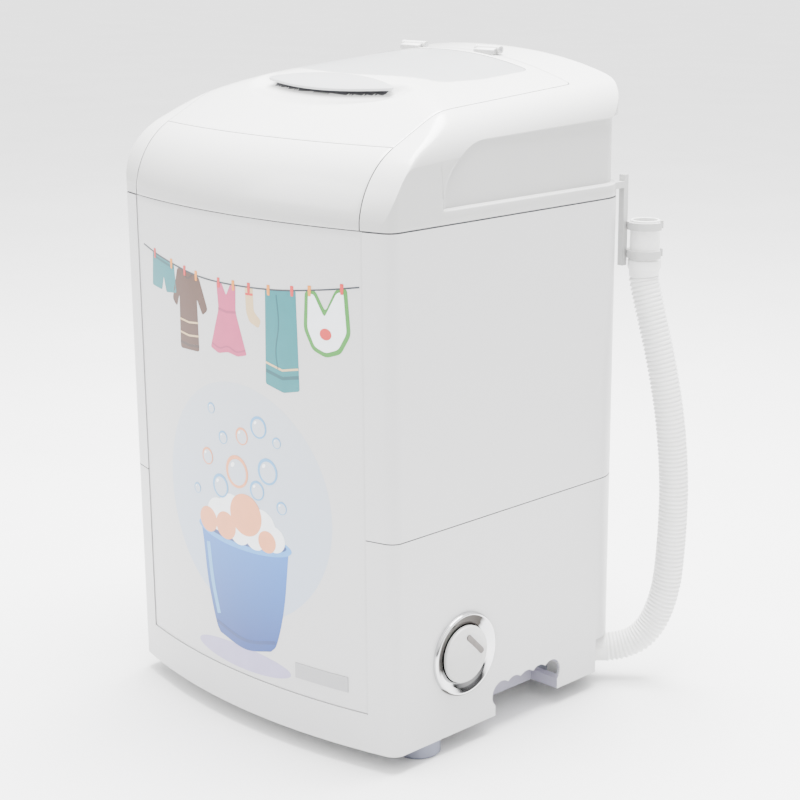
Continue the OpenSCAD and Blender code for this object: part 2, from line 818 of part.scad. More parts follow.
module base_pan() color("whitesmoke") place() difference() {
    prism(pan_z, pan_z + 3) outline(2 * wall + 0.6);
    translate([-4, -4, 0]) notch_cut(big);
    translate([128, 261, 0]) cylinder(r = 24, h = big);
    for (x = [-1, 1]) for (at = [front_foot, rear_foot])
        translate([x * at.x, at.y, 0]) cylinder(r = 2.5, h = pan_z + 1);
}

module rubber_feet() color("slategray") place() for (x = [-1, 1]) for (at = [front_foot, rear_foot])
    translate([x * at.x, at.y, 0]) difference() {
        union() {
            cylinder(r = foot_r - 1.5, h = 3);
            translate([0, 0, 1.5]) cylinder(r = foot_r, h = rim_z - 1.5);
        }
        translate([0, 0, -1]) cylinder(r = 7, h = 9);
        cylinder(r = 2.5, h = 30);
    }

module foot_screws() color("silver") place() for (x = [-1, 1]) for (at = [front_foot, rear_foot])
    translate([x * at.x, at.y, 8]) mirror([0, 0, 1]) screw(2.5, 5.5, 26, 3);

module rear_access_cover() color("white") place() difference() {
    translate([-90, body_d, 64]) cube([180, 2.5, 124]);
    for (i = [0 : 6]) translate([-45, body_d - 1, 90 + 11 * i]) cube([90, 5, 5]);
    for (x = [-85, 85]) for (z = [70, 182]) translate([x, body_d - 1, z]) rotate([-90, 0, 0])
        cylinder(r = 2, h = 5);
}

module rear_cover_screws() color("silver") place() for (x = [-85, 85]) for (z = [70, 182])
    translate([x, body_d + 2.5, z]) rotate([-90, 0, 0]) screw(2, 4, 2.5, 2);

module cord_gland() color("dimgray") place() translate([-120, body_d, 90]) rotate([-90, 0, 0]) difference() {
    union() {
        translate([0, 0, 0]) cylinder(r = 11, h = 5);
        translate([0, 0, -wall - 5]) cylinder(r = 8, h = wall + 6);
    }
    translate([0, 0, -wall - 6]) cylinder(r = 3.5, h = 20);
}

// timer and dial

module at_dial() {
    translate([half_w, dial_y, dial_z]) rotate([0, 90, 0]) children();
}

module timer_body() color("dimgray") place() difference() {
    union() {
        translate([half_w - wall - 3 - 34, dial_y - 24, dial_z - 24]) cube([34, 48, 48]);
        translate([half_w - wall - 3, dial_y, dial_z]) rotate([0, 90, 0]) cylinder(r = 7.5, h = 4);
    }
    translate([half_w - 34, dial_y, dial_z]) rotate([0, 90, 0]) cylinder(r = 3 + run_gap, h = 40);
}

module timer_shaft() color("silver") place()
    translate([half_w - 33, dial_y, dial_z]) rotate([0, 90, 0]) cylinder(r = 3, h = 36.5);

module dial_bezel() color("silver") place() at_dial() {
    band = (ring_r - 27) / 2;
    lift = 4;
    r = (band * band + lift * lift) / (2 * lift);
    rotate_extrude() intersection() {
        translate([27 + band, lift - r]) circle(r);
        translate([27, 0]) square([2 * band, lift]);
    }
}

module timer_knob() color("white") place() at_dial() difference() {
    union() {
        translate([0, 0, 0.5]) cylinder(r = knob_r, h = 3.5);
        intersection() {
            translate([0, 0, -54]) sphere(60.5);
            translate([0, 0, 4]) cylinder(r = knob_r, h = 3);
        }
    }
    translate([0, 0, -1]) cylinder(r = 3, h = 4.5);
    rotate([0, 0, 45]) translate([-14, 9, 5]) cube([28, 5, 3]);
}

module knob_pointer() color("silver") place() at_dial()
    rotate([0, 0, 45]) translate([-14, 9, 5]) cube([28, 5, 2]);

// water and wiring

// where the arm of the bracket is set into the cap
module bracket_arm() {
    translate([bar.x, bar.y - 20, 476]) cube([bar_w, 22, 6]);
}

module hose_bracket() color("white") place() {
    difference() {
        translate([bar.x, bar.y, 404]) cube([bar_w, bar_w, 84]);
        for (z = clip_z) translate([nozzle.x, nozzle.y, z - 0.3]) cylinder(r = clip_r, h = clip_h + 0.6);
    }
    bracket_arm();
}

module hose_clips() color("white") place() for (z = clip_z) translate([nozzle.x, nozzle.y, z])
    rotate([0, 0, 30]) linear_extrude(clip_h) difference() {
        circle(clip_r);
        circle(hose_r);
        translate([2, -6]) square([clip_r, 12]);
    }

module drain_spigot() color("whitesmoke") place() translate(outlet) rotate([0, 90, 45]) difference() {
    union() {
        cylinder(r = hose_r, h = 3);
        translate([0, 0, -12]) cylinder(r = drain_r + drain_wall, h = 13);
    }
    translate([0, 0, -13]) cylinder(r = drain_r, h = 20);
}

// Hoses and leads are swept along their routes.

function unit(v) = v / norm(v);
function along(p, i) = unit(p[min(i + 1, len(p) - 1)] - p[max(i - 1, 0)]);
function hoop(p, i, r, n, guide) = let(t = along(p, i), u = unit(cross(t, guide)), v = cross(t, u))
    [for (k = [0 : n - 1]) p[i] + r * (cos(360 * k / n) * u + sin(360 * k / n) * v)];

// a route with each corner rounded off over the distance c
function eased(p, c) = [p[0], for (i = [1 : len(p) - 2])
    let(u = c * unit(p[i - 1] - p[i]), v = c * unit(p[i + 1] - p[i]))
        each [p[i] + u, p[i] + 0.56 * u + 0.06 * v, p[i] + 0.25 * (u + v), p[i] + 0.06 * u + 0.56 * v,
            p[i] + v],
    p[len(p) - 1]];

module swept_solid(p, r, n, guide) {
    rings = len(p);
    points = [for (i = [0 : rings - 1]) each hoop(p, i, r, n, guide)];
    walls = [for (i = [0 : rings - 2]) for (k = [0 : n - 1])
        [i * n + k, i * n + (k + 1) % n, (i + 1) * n + (k + 1) % n, (i + 1) * n + k]];
    ends = [[for (k = [n - 1 : -1 : 0]) k], [for (k = [0 : n - 1]) (rings - 1) * n + k]];
    polyhedron(points, concat(walls, ends));
}

// the same with a bore: each ring holds n outer points and then n inner points
module swept_tube(p, r, bore, n, guide) {
    rings = len(p);
    points = [for (i = [0 : rings - 1])
        each concat(hoop(p, i, r, n, guide), hoop(p, i, bore, n, guide))];
    walls = [for (i = [0 : rings - 2]) for (k = [0 : n - 1]) let(m = 2 * n, q = (k + 1) % n) each [
        [i * m + k, i * m + q, (i + 1) * m + q, (i + 1) * m + k],
        [i * m + n + q, i * m + n + k, (i + 1) * m + n + k, (i + 1) * m + n + q]]];
    last = (rings - 1) * 2 * n;
    ends = [for (k = [0 : n - 1]) let(q = (k + 1) % n) each [
        [q, k, n + k, n + q],
        [last + k, last + q, last + n + q, last + n + k]]];
    polyhedron(points, concat(walls, ends));
}

module inner_drain_hose() color("dimgray") place() swept_tube(inner_route, inner_hose_r, drain_r, 12,
    [0, 1, 0]);

module wiring_loom() color("black") place() for (route = lead_routes)
    swept_solid(eased(route, 10), lead_r, 8, [1, 2, 3]);

module drain_hose() color("white") place() swept_tube(hose_route, hose_r, hose_bore, 12, [0, 1, 0]);

module hose_collar() color("white") place() translate(nozzle)
    tube_z(hose_r + 1.5, hose_bore, 0, 9.5);

module hose_nozzle() color("white") place() translate(nozzle)
    tube_z(hose_r, hose_bore, 9.5, 46);

upper_shell();
lower_shell();
front_panel();
badge_plate();
upper_front_cover();
top_frame();
wash_tub();
base_pan();
rubber_feet();
foot_screws();
rear_access_cover();
rear_cover_screws();
bearing_housing();
upper_bush();
lower_bush();
shaft_seal();
motor_bracket();
bracket_bolts();
motor_cushions();
motor_bolts();
motor_shell();
stator_core();
stator_windings();
run_capacitor();
capacitor_clip();
timer_body();
dial_bezel();
hose_bracket();
drain_spigot();
inner_drain_hose();
drain_strainer();
wiring_loom();
cord_gland();
drive_belt();
lid_hinge_pins();
drain_hose();
hose_nozzle();
hose_collar();
hose_clips();
lid_panel();
lid_window();
window_seal();
lid_handle();
lid_bumpers();
timer_knob();
knob_pointer();
timer_shaft();
pulsator();
pulsator_shaft();
pulsator_screw();
drum_pulley();
pulley_nut();
motor_rotor();
motor_shaft();
motor_pulley();
lint_filter();
filter_net();
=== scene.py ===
"""Looks for the compact top load washing machine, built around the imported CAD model."""
from math import asin, cos, exp, hypot, log, pi, radians, sin, sqrt, tan

import bmesh
import bpy
from mathutils import Matrix, Vector
from mathutils.geometry import delaunay_2d_cdt


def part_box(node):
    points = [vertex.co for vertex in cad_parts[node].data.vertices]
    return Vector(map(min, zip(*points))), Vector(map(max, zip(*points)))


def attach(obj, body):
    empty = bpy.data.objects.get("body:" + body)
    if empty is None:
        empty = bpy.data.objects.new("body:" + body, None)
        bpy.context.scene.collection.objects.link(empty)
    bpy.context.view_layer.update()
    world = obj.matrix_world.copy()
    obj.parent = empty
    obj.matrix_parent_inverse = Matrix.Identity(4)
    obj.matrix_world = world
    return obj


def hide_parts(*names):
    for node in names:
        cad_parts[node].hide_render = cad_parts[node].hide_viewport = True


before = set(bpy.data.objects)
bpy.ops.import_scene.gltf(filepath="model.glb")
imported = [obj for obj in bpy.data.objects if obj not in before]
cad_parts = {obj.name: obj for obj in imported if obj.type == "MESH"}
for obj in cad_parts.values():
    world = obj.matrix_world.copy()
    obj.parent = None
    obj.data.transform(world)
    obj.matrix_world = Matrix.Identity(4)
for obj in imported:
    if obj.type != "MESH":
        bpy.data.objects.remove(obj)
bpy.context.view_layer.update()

# Sizes in millimetres, as in the CAD source. Y is measured from the front corner line.
HALF_W, DEPTH, BOW, FRONT_R, REAR_R = 177.5, 311.0, 18.0, 12.0, 36.0
PANEL_HALF, LID_HALF, LID_BACK, COVER_D = 150.0, 148.0, 257.0, 38.0
RIM_Z, SKIRT_Z, MID_Z, SEAM_Z, LEDGE_Z = 17.0, 52.0, 211.0, 472.0, 484.0
PANEL_SET = 0.8
BOW_R = (PANEL_HALF ** 2 + BOW ** 2) / (2 * BOW)
BOW_Y = BOW_R - BOW
CROWN_Z, TILT = 597.5, tan(radians(4))
CORNER_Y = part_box("lower_shell")[0].y * 1000 + BOW


def P(x, y, z):
    """A point of the cabinet, in the row frame, in metres."""
    return Vector((x, y + CORNER_Y, z)) * 0.001


# ---------------------------------------------------------------- camera and light

# Sky strength at the horizon and overhead, what the camera sees beyond the floor, and the lamps' watts.
SKY = (0.06, 4.4)
BACKDROP = 3.4
KEY_POWER, TOP_POWER, SIDE_POWER = 48, 300, 0.1
FLOOR_HALF = 30


def make_camera():
    """The photograph's viewpoint: azimuth from the front toward +X, elevation and roll."""
    az, el, roll = radians(44.499), radians(15.641), radians(-0.111)
    back = Vector((sin(az) * cos(el), -cos(az) * cos(el), sin(el)))
    right = Vector((cos(az), sin(az), 0))
    up = back.cross(right)
    r = right * cos(roll) + up * sin(roll)
    u = up * cos(roll) - right * sin(roll)
    data = bpy.data.cameras.new("camera")
    data.sensor_width = 36
    data.lens = 82.62
    data.shift_x, data.shift_y = -0.05, 0.04
    data.clip_start, data.clip_end = 0.05, 30
    cam = bpy.data.objects.new("camera", data)
    bpy.context.scene.collection.objects.link(cam)
    m = Matrix((r, u, back)).transposed().to_4x4()
    m.translation = P(1217.2, -996.5, 713.6)
    cam.matrix_world = m
    bpy.context.scene.camera = cam


def area_light(name, place, target, size, power, tint=(1, 1, 1)):
    data = bpy.data.lights.new(name, "AREA")
    data.shape = "RECTANGLE"
    data.size, data.size_y = size
    data.energy = power
    data.color = tint
    o = bpy.data.objects.new(name, data)
    bpy.context.scene.collection.objects.link(o)
    o.location = place
    o.rotation_euler = (Vector(target) - Vector(place)).to_track_quat("-Z", "Y").to_euler()


def make_studio():
    """A pale sky that is brightest overhead, three soft lamps and a floor."""
    world = bpy.data.worlds.new("studio")
    bpy.context.scene.world = world
    world.use_nodes = True
    tree = world.node_tree
    sky = tree.nodes["Background"]
    coord = tree.nodes.new("ShaderNodeTexCoord")
    split = tree.nodes.new("ShaderNodeSeparateXYZ")
    ramp = tree.nodes.new("ShaderNodeMapRange")
    for socket, value in (("From Min", 0.05), ("From Max", 0.9), ("To Min", SKY[0]), ("To Max", SKY[1])):
        ramp.inputs[socket].default_value = value
    tree.links.new(coord.outputs["Generated"], split.inputs["Vector"])
    tree.links.new(split.outputs["Z"], ramp.inputs["Value"])
    path = tree.nodes.new("ShaderNodeLightPath")
    seen = tree.nodes.new("ShaderNodeMix")
    seen.inputs["B"].default_value = BACKDROP
    tree.links.new(path.outputs["Is Camera Ray"], seen.inputs["Factor"])
    tree.links.new(ramp.outputs["Result"], seen.inputs["A"])
    tree.links.new(seen.outputs["Result"], sky.inputs["Strength"])
    sky.inputs["Color"].default_value = (1, 1, 1, 1)
    area_light("key", (-1.3, -2.2, 1.7), (0, 0, 0.35), (1.4, 1.4), KEY_POWER)
    area_light("top", (0.0, 0.3, 2.3), (0, 0, 0.3), (1.6, 1.6), TOP_POWER)
    area_light("side", (2.4, -0.2, 1.0), (0, 0, 0.3), (1.0, 1.6), SIDE_POWER)
    me = bpy.data.meshes.new("floor")
    bm = bmesh.new()
    bmesh.ops.create_grid(bm, x_segments=8, y_segments=8, size=FLOOR_HALF)
    bm.to_mesh(me)
    bm.free()
    floor = bpy.data.objects.new("floor", me)
    bpy.context.scene.collection.objects.link(floor)
    me.materials.append(floor_material())


# ---------------------------------------------------------------- materials

class Nodes:
    """Short ways to build a node material."""

    def __init__(self, name):
        self.mat = bpy.data.materials.new(name)
        self.mat.use_nodes = True
        self.tree = self.mat.node_tree
        self.shader = self.tree.nodes["Principled BSDF"]
        coord = self.tree.nodes.new("ShaderNodeTexCoord")
        self.place = coord.outputs["Object"]

    def add(self, kind, **values):
        n = self.tree.nodes.new(kind)
        for k, v in values.items():
            if hasattr(n, k) and k not in n.inputs:
                setattr(n, k, v)
            else:
                n.inputs[k.replace("_", " ")].default_value = v
        return n

    def link(self, a, b):
        self.tree.links.new(a, b)

    def noise(self, scale, detail, rough=0.5, stretch=None):
        n = self.add("ShaderNodeTexNoise", Scale=scale, Detail=detail, Roughness=rough)
        source = self.place
        if stretch:
            m = self.add("ShaderNodeMapping")
            m.inputs["Scale"].default_value = stretch
            self.link(source, m.inputs["Vector"])
            source = m.outputs["Vector"]
        self.link(source, n.inputs["Vector"])
        return n.outputs["Fac"]

    def color(self, fac, stops):
        """Base colour from a ramp of (position, colour) stops."""
        n = self.add("ShaderNodeValToRGB")
        e = n.color_ramp.elements
        while len(e) < len(stops):
            e.new(0.5)
        for item, (pos, col) in zip(e, stops):
            item.position = pos
            item.color = (*col, 1)
        self.link(fac, n.inputs["Fac"])
        self.link(n.outputs["Color"], self.shader.inputs["Base Color"])

    def rough(self, fac, low, high):
        n = self.add("ShaderNodeMapRange")
        n.inputs["To Min"].default_value = low
        n.inputs["To Max"].default_value = high
        self.link(fac, n.inputs["Value"])
        self.link(n.outputs["Result"], self.shader.inputs["Roughness"])

    def bump(self, height, strength, distance):
        n = self.add("ShaderNodeBump")
        n.inputs["Strength"].default_value = strength
        n.inputs["Distance"].default_value = distance
        self.link(height, n.inputs["Height"])
        self.link(n.outputs["Normal"], self.shader.inputs["Normal"])

    def set(self, **values):
        for k, v in values.items():
            self.shader.inputs[k.replace("_", " ")].default_value = v


def shade(c, k):
    return tuple(min(1.0, max(0.0, v * k)) for v in c)


def moulded(name, color, rough, grain, bump, mottle, coat=0.0, metallic=0.0, slow=22):
    """Moulded plastic, rubber or painted metal: slow colour drift, fine grain and uneven gloss."""
    n = Nodes(name)
    drift = n.noise(slow, 4, 0.55)
    n.color(drift, [(0.25, shade(color, 1 - mottle)), (0.75, shade(color, 1 + mottle))])
    n.rough(n.noise(slow * 4, 5, 0.6), *rough)
    n.bump(n.noise(grain, 3, 0.6), bump, 0.0003)
    n.set(Metallic=metallic)
    if coat:
        n.set(Coat_Weight=coat, Coat_Roughness=0.12)
    return n.mat


def brushed(name, color, rough=(0.28, 0.42)):
    """Metal with fine drawn lines along one direction."""
    n = Nodes(name)
    lines = n.noise(1.0, 6, 0.7, (60, 60, 2400))
    n.color(lines, [(0.2, shade(color, 0.86)), (0.8, shade(color, 1.06))])
    n.rough(lines, *rough)
    n.bump(lines, 0.12, 0.0002)
    n.set(Metallic=1.0)
    return n.mat


def chrome(name):
    """Bright plating with a painted reflection: a dark band on the faces that lean a little down and to the
    rear.
    """
    n = Nodes(name)
    geo = n.add("ShaderNodeNewGeometry")
    lean = n.add("ShaderNodeVectorMath", operation="DOT_PRODUCT")
    n.link(geo.outputs["Normal"], lean.inputs[0])
    lean.inputs[1].default_value = (0.0, 0.55, -0.83)
    gloss_and_reflection_noise = n.noise(30, 5, 0.6)
    painted_reflection_fac = n.add("ShaderNodeMath", operation="MULTIPLY_ADD")
    n.link(gloss_and_reflection_noise, painted_reflection_fac.inputs[0])
    painted_reflection_fac.inputs[1].default_value = 0.12
    n.link(lean.outputs["Value"], painted_reflection_fac.inputs[2])
    # Painted reflection: bright plating, then a dark band where faces lean down and to the rear, then
    # bright again.
    stops = [(0.0, (0.60, 0.60, 0.61)), (0.13, (0.62, 0.62, 0.63)), (0.19, (0.045, 0.04, 0.037)),
             (0.56, (0.07, 0.062, 0.056)), (0.66, (0.72, 0.72, 0.73))]
    n.color(painted_reflection_fac.outputs[0], stops)
    n.rough(gloss_and_reflection_noise, 0.06, 0.16)
    n.bump(n.noise(60, 2), 0.03, 0.0003)
    n.set(Metallic=1.0)
    return n.mat


def frosted(name, color, through):
    """Milky plastic with a fine, soft surface."""
    n = Nodes(name)
    n.color(n.noise(40, 4), [(0.3, shade(color, 0.985)), (0.7, color)])
    n.rough(n.noise(120, 4), 0.26, 0.38)
    n.bump(n.noise(1500, 2), 0.05, 0.0002)
    n.set(Transmission_Weight=through, IOR=1.46)
    return n.mat


def net_material(name, color):
    """Fine woven net: two crossing waves of threads."""
    n = Nodes(name)
    w = [n.add("ShaderNodeTexWave", Scale=260, bands_direction=d) for d in ("X", "Z")]
    for k in w:
        n.link(n.place, k.inputs["Vector"])
    m = n.add("ShaderNodeMath", operation="MAXIMUM")
    n.link(w[0].outputs["Fac"], m.inputs[0])
    n.link(w[1].outputs["Fac"], m.inputs[1])
    n.color(m.outputs[0], [(0.45, shade(color, 0.55)), (0.8, color)])
    n.rough(m.outputs[0], 0.9, 0.6)
    n.bump(m.outputs[0], 0.5, 0.0004)
    return n.mat


def wound(name, color):
    """Enamelled wire, wound round the stator."""
    n = Nodes(name)
    w = n.add("ShaderNodeTexWave", Scale=420, Distortion=1.2, bands_direction="Z")
    n.link(n.place, w.inputs["Vector"])
    n.color(w.outputs["Fac"], [(0.2, shade(color, 0.55)), (0.8, shade(color, 1.1))])
    n.rough(w.outputs["Fac"], 0.5, 0.3)
    n.bump(w.outputs["Fac"], 0.5, 0.0005)
    n.set(Metallic=0.6)
    return n.mat


def ink(name, color, depth=0.05):
    """Printed film on the front: a little uneven in colour and gloss."""
    n = Nodes(name)
    n.color(n.noise(70, 4), [(0.25, shade(color, 1 - depth)), (0.75, shade(color, 1 + depth))])
    n.rough(n.noise(200, 3), 0.25, 0.36)
    n.bump(n.noise(2200, 2), 0.04, 0.0002)
    return n.mat


def faded_ink(name, low, high, bottom, top):
    """Printed film that runs from one colour to another with height, both in millimetres."""
    n = Nodes(name)
    split = n.add("ShaderNodeSeparateXYZ")
    n.link(n.place, split.inputs["Vector"])
    m = n.add("ShaderNodeMapRange")
    m.inputs["From Min"].default_value = bottom * 0.001
    m.inputs["From Max"].default_value = top * 0.001
    n.link(split.outputs["Z"], m.inputs["Value"])
    n.color(m.outputs["Result"], [(0.0, low), (1.0, high)])
    n.rough(n.noise(200, 3), 0.25, 0.36)
    n.bump(n.noise(2200, 2), 0.04, 0.0002)
    return n.mat


def floor_material():
    n = Nodes("studio_floor")
    n.color(n.noise(3, 3), [(0.3, (0.86, 0.86, 0.86)), (0.7, (0.9, 0.9, 0.9))])
    n.set(Roughness=0.6, Specular_IOR_Level=0.25)
    return n.mat


# The shell's white is set well below the glossy top's: painted shade on the upright body.
WHITE_WITH_PAINTED_SHADE = (0.52, 0.52, 0.523)
M = {}


def paint_shade_on_sides(mat, low):
    """Painted shade: darkens the upright faces of a moulding to low times the colour of its top."""
    tree = mat.node_tree
    base = tree.nodes["Principled BSDF"].inputs["Base Color"]
    source = base.links[0].from_socket
    geometry = tree.nodes.new("ShaderNodeNewGeometry")
    split = tree.nodes.new("ShaderNodeSeparateXYZ")
    tree.links.new(geometry.outputs["Normal"], split.inputs["Vector"])
    ramp = tree.nodes.new("ShaderNodeMapRange")
    ramp.inputs["From Max"].default_value = 0.9
    ramp.inputs["To Min"].default_value = low
    tree.links.new(split.outputs["Z"], ramp.inputs["Value"])
    scale = tree.nodes.new("ShaderNodeVectorMath")
    scale.operation = "SCALE"
    tree.links.new(source, scale.inputs[0])
    tree.links.new(ramp.outputs["Result"], scale.inputs["Scale"])
    tree.links.new(scale.outputs["Vector"], base)


# Name, colour, least and most roughness, scale of the grain, its bump, uneven colour, and for some
# the clear coat, metal and scale of the colour's drift.
MOULDINGS = {
    "shell": ("white_shell", WHITE_WITH_PAINTED_SHADE, (0.26, 0.36), 1100, 0.05, 0.008),
    "gloss": ("white_gloss_top", (0.76, 0.76, 0.75), (0.16, 0.26), 900, 0.03, 0.006, 0.25),
    "handle": ("white_handle", (0.47, 0.475, 0.485), (0.2, 0.3), 900, 0.03, 0.008),
    "badge": ("badge_metal_film", (0.34, 0.34, 0.35), (0.3, 0.42), 1200, 0.05, 0.02),
    "matte": ("white_matte", (0.76, 0.76, 0.75), (0.42, 0.56), 1100, 0.12, 0.02),
    "tub": ("tub_white", (0.78, 0.79, 0.80), (0.34, 0.46), 700, 0.08, 0.015),
    "pulsator": ("pulsator_blue", (0.36, 0.52, 0.74), (0.32, 0.45), 700, 0.08, 0.03),
    "foot": ("grey_foot_rubber", (0.20, 0.21, 0.27), (0.62, 0.8), 900, 0.35, 0.06),
    "pocket": ("pocket_shadow_grey", (0.30, 0.29, 0.36), (0.5, 0.65), 900, 0.15, 0.05),
    "rubber": ("black_rubber", (0.025, 0.025, 0.028), (0.6, 0.78), 900, 0.3, 0.1),
    "motor": ("motor_paint", (0.20, 0.22, 0.25), (0.4, 0.55), 500, 0.12, 0.05),
    "pulley": ("pulley_cast", (0.33, 0.35, 0.38), (0.4, 0.6), 400, 0.3, 0.08),
    "black": ("black_plastic", (0.03, 0.03, 0.034), (0.4, 0.55), 700, 0.12, 0.08),
    "hose": ("hose_white", (0.78, 0.78, 0.77), (0.34, 0.48), 700, 0.08, 0.02),
    # Painted shade, for the seams, the edges of the cover and front panel, and the floor under the lid
    # handle.
    "gap": ("dark_gap", (0.06, 0.06, 0.065), (0.6, 0.75), 900, 0.1, 0.05),
    # Painted shade, for the gap beside the lid and the window's edge.
    "shade": ("shaded_edge", (0.20, 0.20, 0.21), (0.5, 0.65), 900, 0.1, 0.03),
    # Painted reflection: the pointer's chrome is given a dark colour for the dark reflection on it.
    "pointer": ("pointer_chrome", (0.12, 0.11, 0.105), (0.1, 0.2), 400, 0.03, 0.25, 0.0, 1.0, 160),
}


def make_materials():
    for key, values in MOULDINGS.items():
        M[key] = moulded(*values)
    # Painted shade: upright faces of the white gloss take 0.56 times the colour of its top.
    paint_shade_on_sides(M["gloss"], 0.56)
    M["window"] = frosted("frosted_window_film", (0.46, 0.47, 0.475), 0.12)
    M["chrome"] = chrome("chrome_painted_reflection")
    M["steel"] = brushed("zinc_steel", (0.56, 0.57, 0.60))
    M["copper"] = wound("winding_copper", (0.62, 0.28, 0.12))
    M["bronze"] = brushed("bush_bronze", (0.52, 0.34, 0.14), (0.35, 0.5))
    M["net"] = net_material("nylon_net", (0.72, 0.76, 0.80))


# ---------------------------------------------------------------- mesh helpers

def new_piece(name, verts, faces, material, body="cabinet", smooth=40, facing=None):
    """A mesh that rides on a body. Facing is the side that its outer face is on, for an open sheet."""
    me = bpy.data.meshes.new(name)
    me.from_pydata([tuple(v) for v in verts], [], faces)
    me.validate()
    me.materials.append(material)
    bm = bmesh.new()
    bm.from_mesh(me)
    bmesh.ops.remove_doubles(bm, verts=bm.verts, dist=1e-6)
    bmesh.ops.recalc_face_normals(bm, faces=bm.faces)
    if facing:
        toward = Vector(facing)
        if sum(f.normal.dot(toward) * f.calc_area() for f in bm.faces) < 0:
            bmesh.ops.reverse_faces(bm, faces=bm.faces)
    bm.to_mesh(me)
    bm.free()
    for p in me.polygons:
        p.use_smooth = True
    me.set_sharp_from_angle(angle=radians(smooth))
    o = bpy.data.objects.new(name, me)
    bpy.context.scene.collection.objects.link(o)
    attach(o, body)
    return o


def apply_modifiers(o):
    """Makes the modifiers' result the piece's own mesh."""
    bpy.context.view_layer.update()
    deps = bpy.context.evaluated_depsgraph_get()
    me = bpy.data.meshes.new_from_object(o.evaluated_get(deps))
    old = o.data
    o.modifiers.clear()
    o.data = me
    bpy.data.meshes.remove(old)
    for p in me.polygons:
        p.use_smooth = True
    me.set_sharp_from_angle(angle=radians(35))


def thicken(o, thickness, round_edge, segments=2, even=True, rim=None):
    """Gives a sheet its wall thickness, inward from the outer face, and rounds its edges."""
    m = o.modifiers.new("wall", "SOLIDIFY")
    m.thickness = thickness * 0.001
    m.offset = -1
    m.use_even_offset = even
    if rim:
        o.data.materials.append(M[rim])
        m.material_offset_rim = 1
    if round_edge:
        b = o.modifiers.new("edge", "BEVEL")
        b.width = round_edge * 0.001
        b.segments = segments
        b.limit_method = "ANGLE"
        b.angle_limit = radians(50)
        b.use_clamp_overlap = True
    apply_modifiers(o)
    return o


def grid_faces(nx, ny, closed=False):
    """Faces of a grid of ny rows of nx points."""
    out = []
    for j in range(ny - 1):
        for i in range(nx if closed else nx - 1):
            a, b = j * nx + i, j * nx + (i + 1) % nx
            out.append((a, b, b + nx, a + nx))
    return out


def lathe(name, profile, origin, axis, material, body, steps=96):
    """A turned piece: profile is (radius, height) pairs in millimetres along axis from origin."""
    axis = Vector(axis).normalized()
    u = axis.orthogonal().normalized()
    v = axis.cross(u)
    verts = []
    for r, h in profile:
        for k in range(steps):
            a = 2 * pi * k / steps
            verts.append(origin + 0.001 * (h * axis + max(r, 0.001) * (cos(a) * u + sin(a) * v)))
    faces = grid_faces(steps, len(profile), True)
    closed = profile[0] == profile[-1]
    if not closed:
        for row in (0, len(profile) - 1):
            if profile[row][0] > 0.01:
                faces.append(tuple(row * steps + k for k in range(steps)))
    return new_piece(name, verts, faces, material, body, 32)


def rounded(points, r, steps=4):
    """A profile with its inner corners rounded by about r."""
    out = [points[0]]
    for a, b, c in zip(points, points[1:], points[2:]):
        va, vc = Vector(a) - Vector(b), Vector(c) - Vector(b)
        la, lc = va.length, vc.length
        cut = min(r, la * 0.45, lc * 0.45)
        pa, pc = Vector(b) + va * (cut / la), Vector(b) + vc * (cut / lc)
        for k in range(steps + 1):
            t = k / steps
            q = (1 - t) ** 2 * pa + 2 * t * (1 - t) * Vector(b) + t ** 2 * pc
            out.append((q.x, q.y))
    out.append(points[-1])
    return out


# ---------------------------------------------------------------- shape of the cap

LEAN_R, LEAN_X, LEAN_Z, LEAN_A, RISE = 73.0, 0.5, -0.9, radians(62.7), 59.6
TOP_R, TOP_A = 250.0, radians(9)
CROWN_R, ROLL_R, ROLL_OUT, REAR_ROUND = 450.0, 45.0, 0.6, 22.0
ROLL_X = HALF_W - ROLL_R + ROLL_OUT
ROLL_A = asin(ROLL_X / (CROWN_R - ROLL_R))
ROLL_Z = (CROWN_R - ROLL_R) * cos(ROLL_A) - CROWN_R


def side_view(d):
    """Height of the cap at the depth d behind the bow, seen from the side."""
    r1, r3 = LEAN_R, TOP_R
    cx, cz = LEAN_R - LEAN_X, SEAM_Z + LEAN_Z
    ca, sa = cos(LEAN_A), sin(LEAN_A)
    p1 = (cx - r1 * ca, cz + r1 * sa)
    p2 = (p1[0] + RISE * sa, p1[1] + RISE * ca)
    c3 = (p2[0] + r3 * ca, p2[1] - r3 * sa)
    p3 = (c3[0] - r3 * sin(TOP_A), c3[1] + r3 * cos(TOP_A))
    if d < p1[0]:
        return cz + sqrt(max(r1 * r1 - (cx - d) ** 2, 0))
    if d < p2[0]:
        return p1[1] + (d - p1[0]) / tan(LEAN_A)
    if d < p3[0]:
        return c3[1] + sqrt(r3 * r3 - (c3[0] - d) ** 2)
    return p3[1] + (d - p3[0]) * tan(TOP_A)


def front_view(x):
    """Drop of the cap at x from its crown, seen from the front."""
    x = abs(x)
    if x < ROLL_X + ROLL_R * sin(ROLL_A):
        return sqrt(CROWN_R ** 2 - x * x) - CROWN_R
    return ROLL_Z + sqrt(max(ROLL_R ** 2 - (x - ROLL_X) ** 2, 0))


def rear_view(y):
    """Height that the rounded rear edge allows, or one above the cap where it has no say."""
    middle = DEPTH + 0.4 - REAR_ROUND
    base = CROWN_Z + (DEPTH - LID_BACK) * TILT - REAR_ROUND
    return 700.0 if y < middle else base + sqrt(max(REAR_ROUND ** 2 - (y - middle) ** 2, 0))


def smin(a, b, k=1.2):
    """The lower of two heights, with the crease between them rounded."""
    return min(a, b) - k * log(1 + exp(-abs(a - b) / k))


def cap_z(x, y):
    """Height of the cap's surface."""
    d = BOW_R - hypot(x, BOW_Y - y)
    crown = CROWN_Z + (y - LID_BACK) * TILT + front_view(x)
    return smin(smin(side_view(d), crown, 2.0), rear_view(y))


def bow_y(x, d=0.0):
    """Y of the bowed front at x, at the depth d."""
    return BOW_Y - sqrt((BOW_R - d) ** 2 - x * x)


# ---------------------------------------------------------------- plan of the cabinet

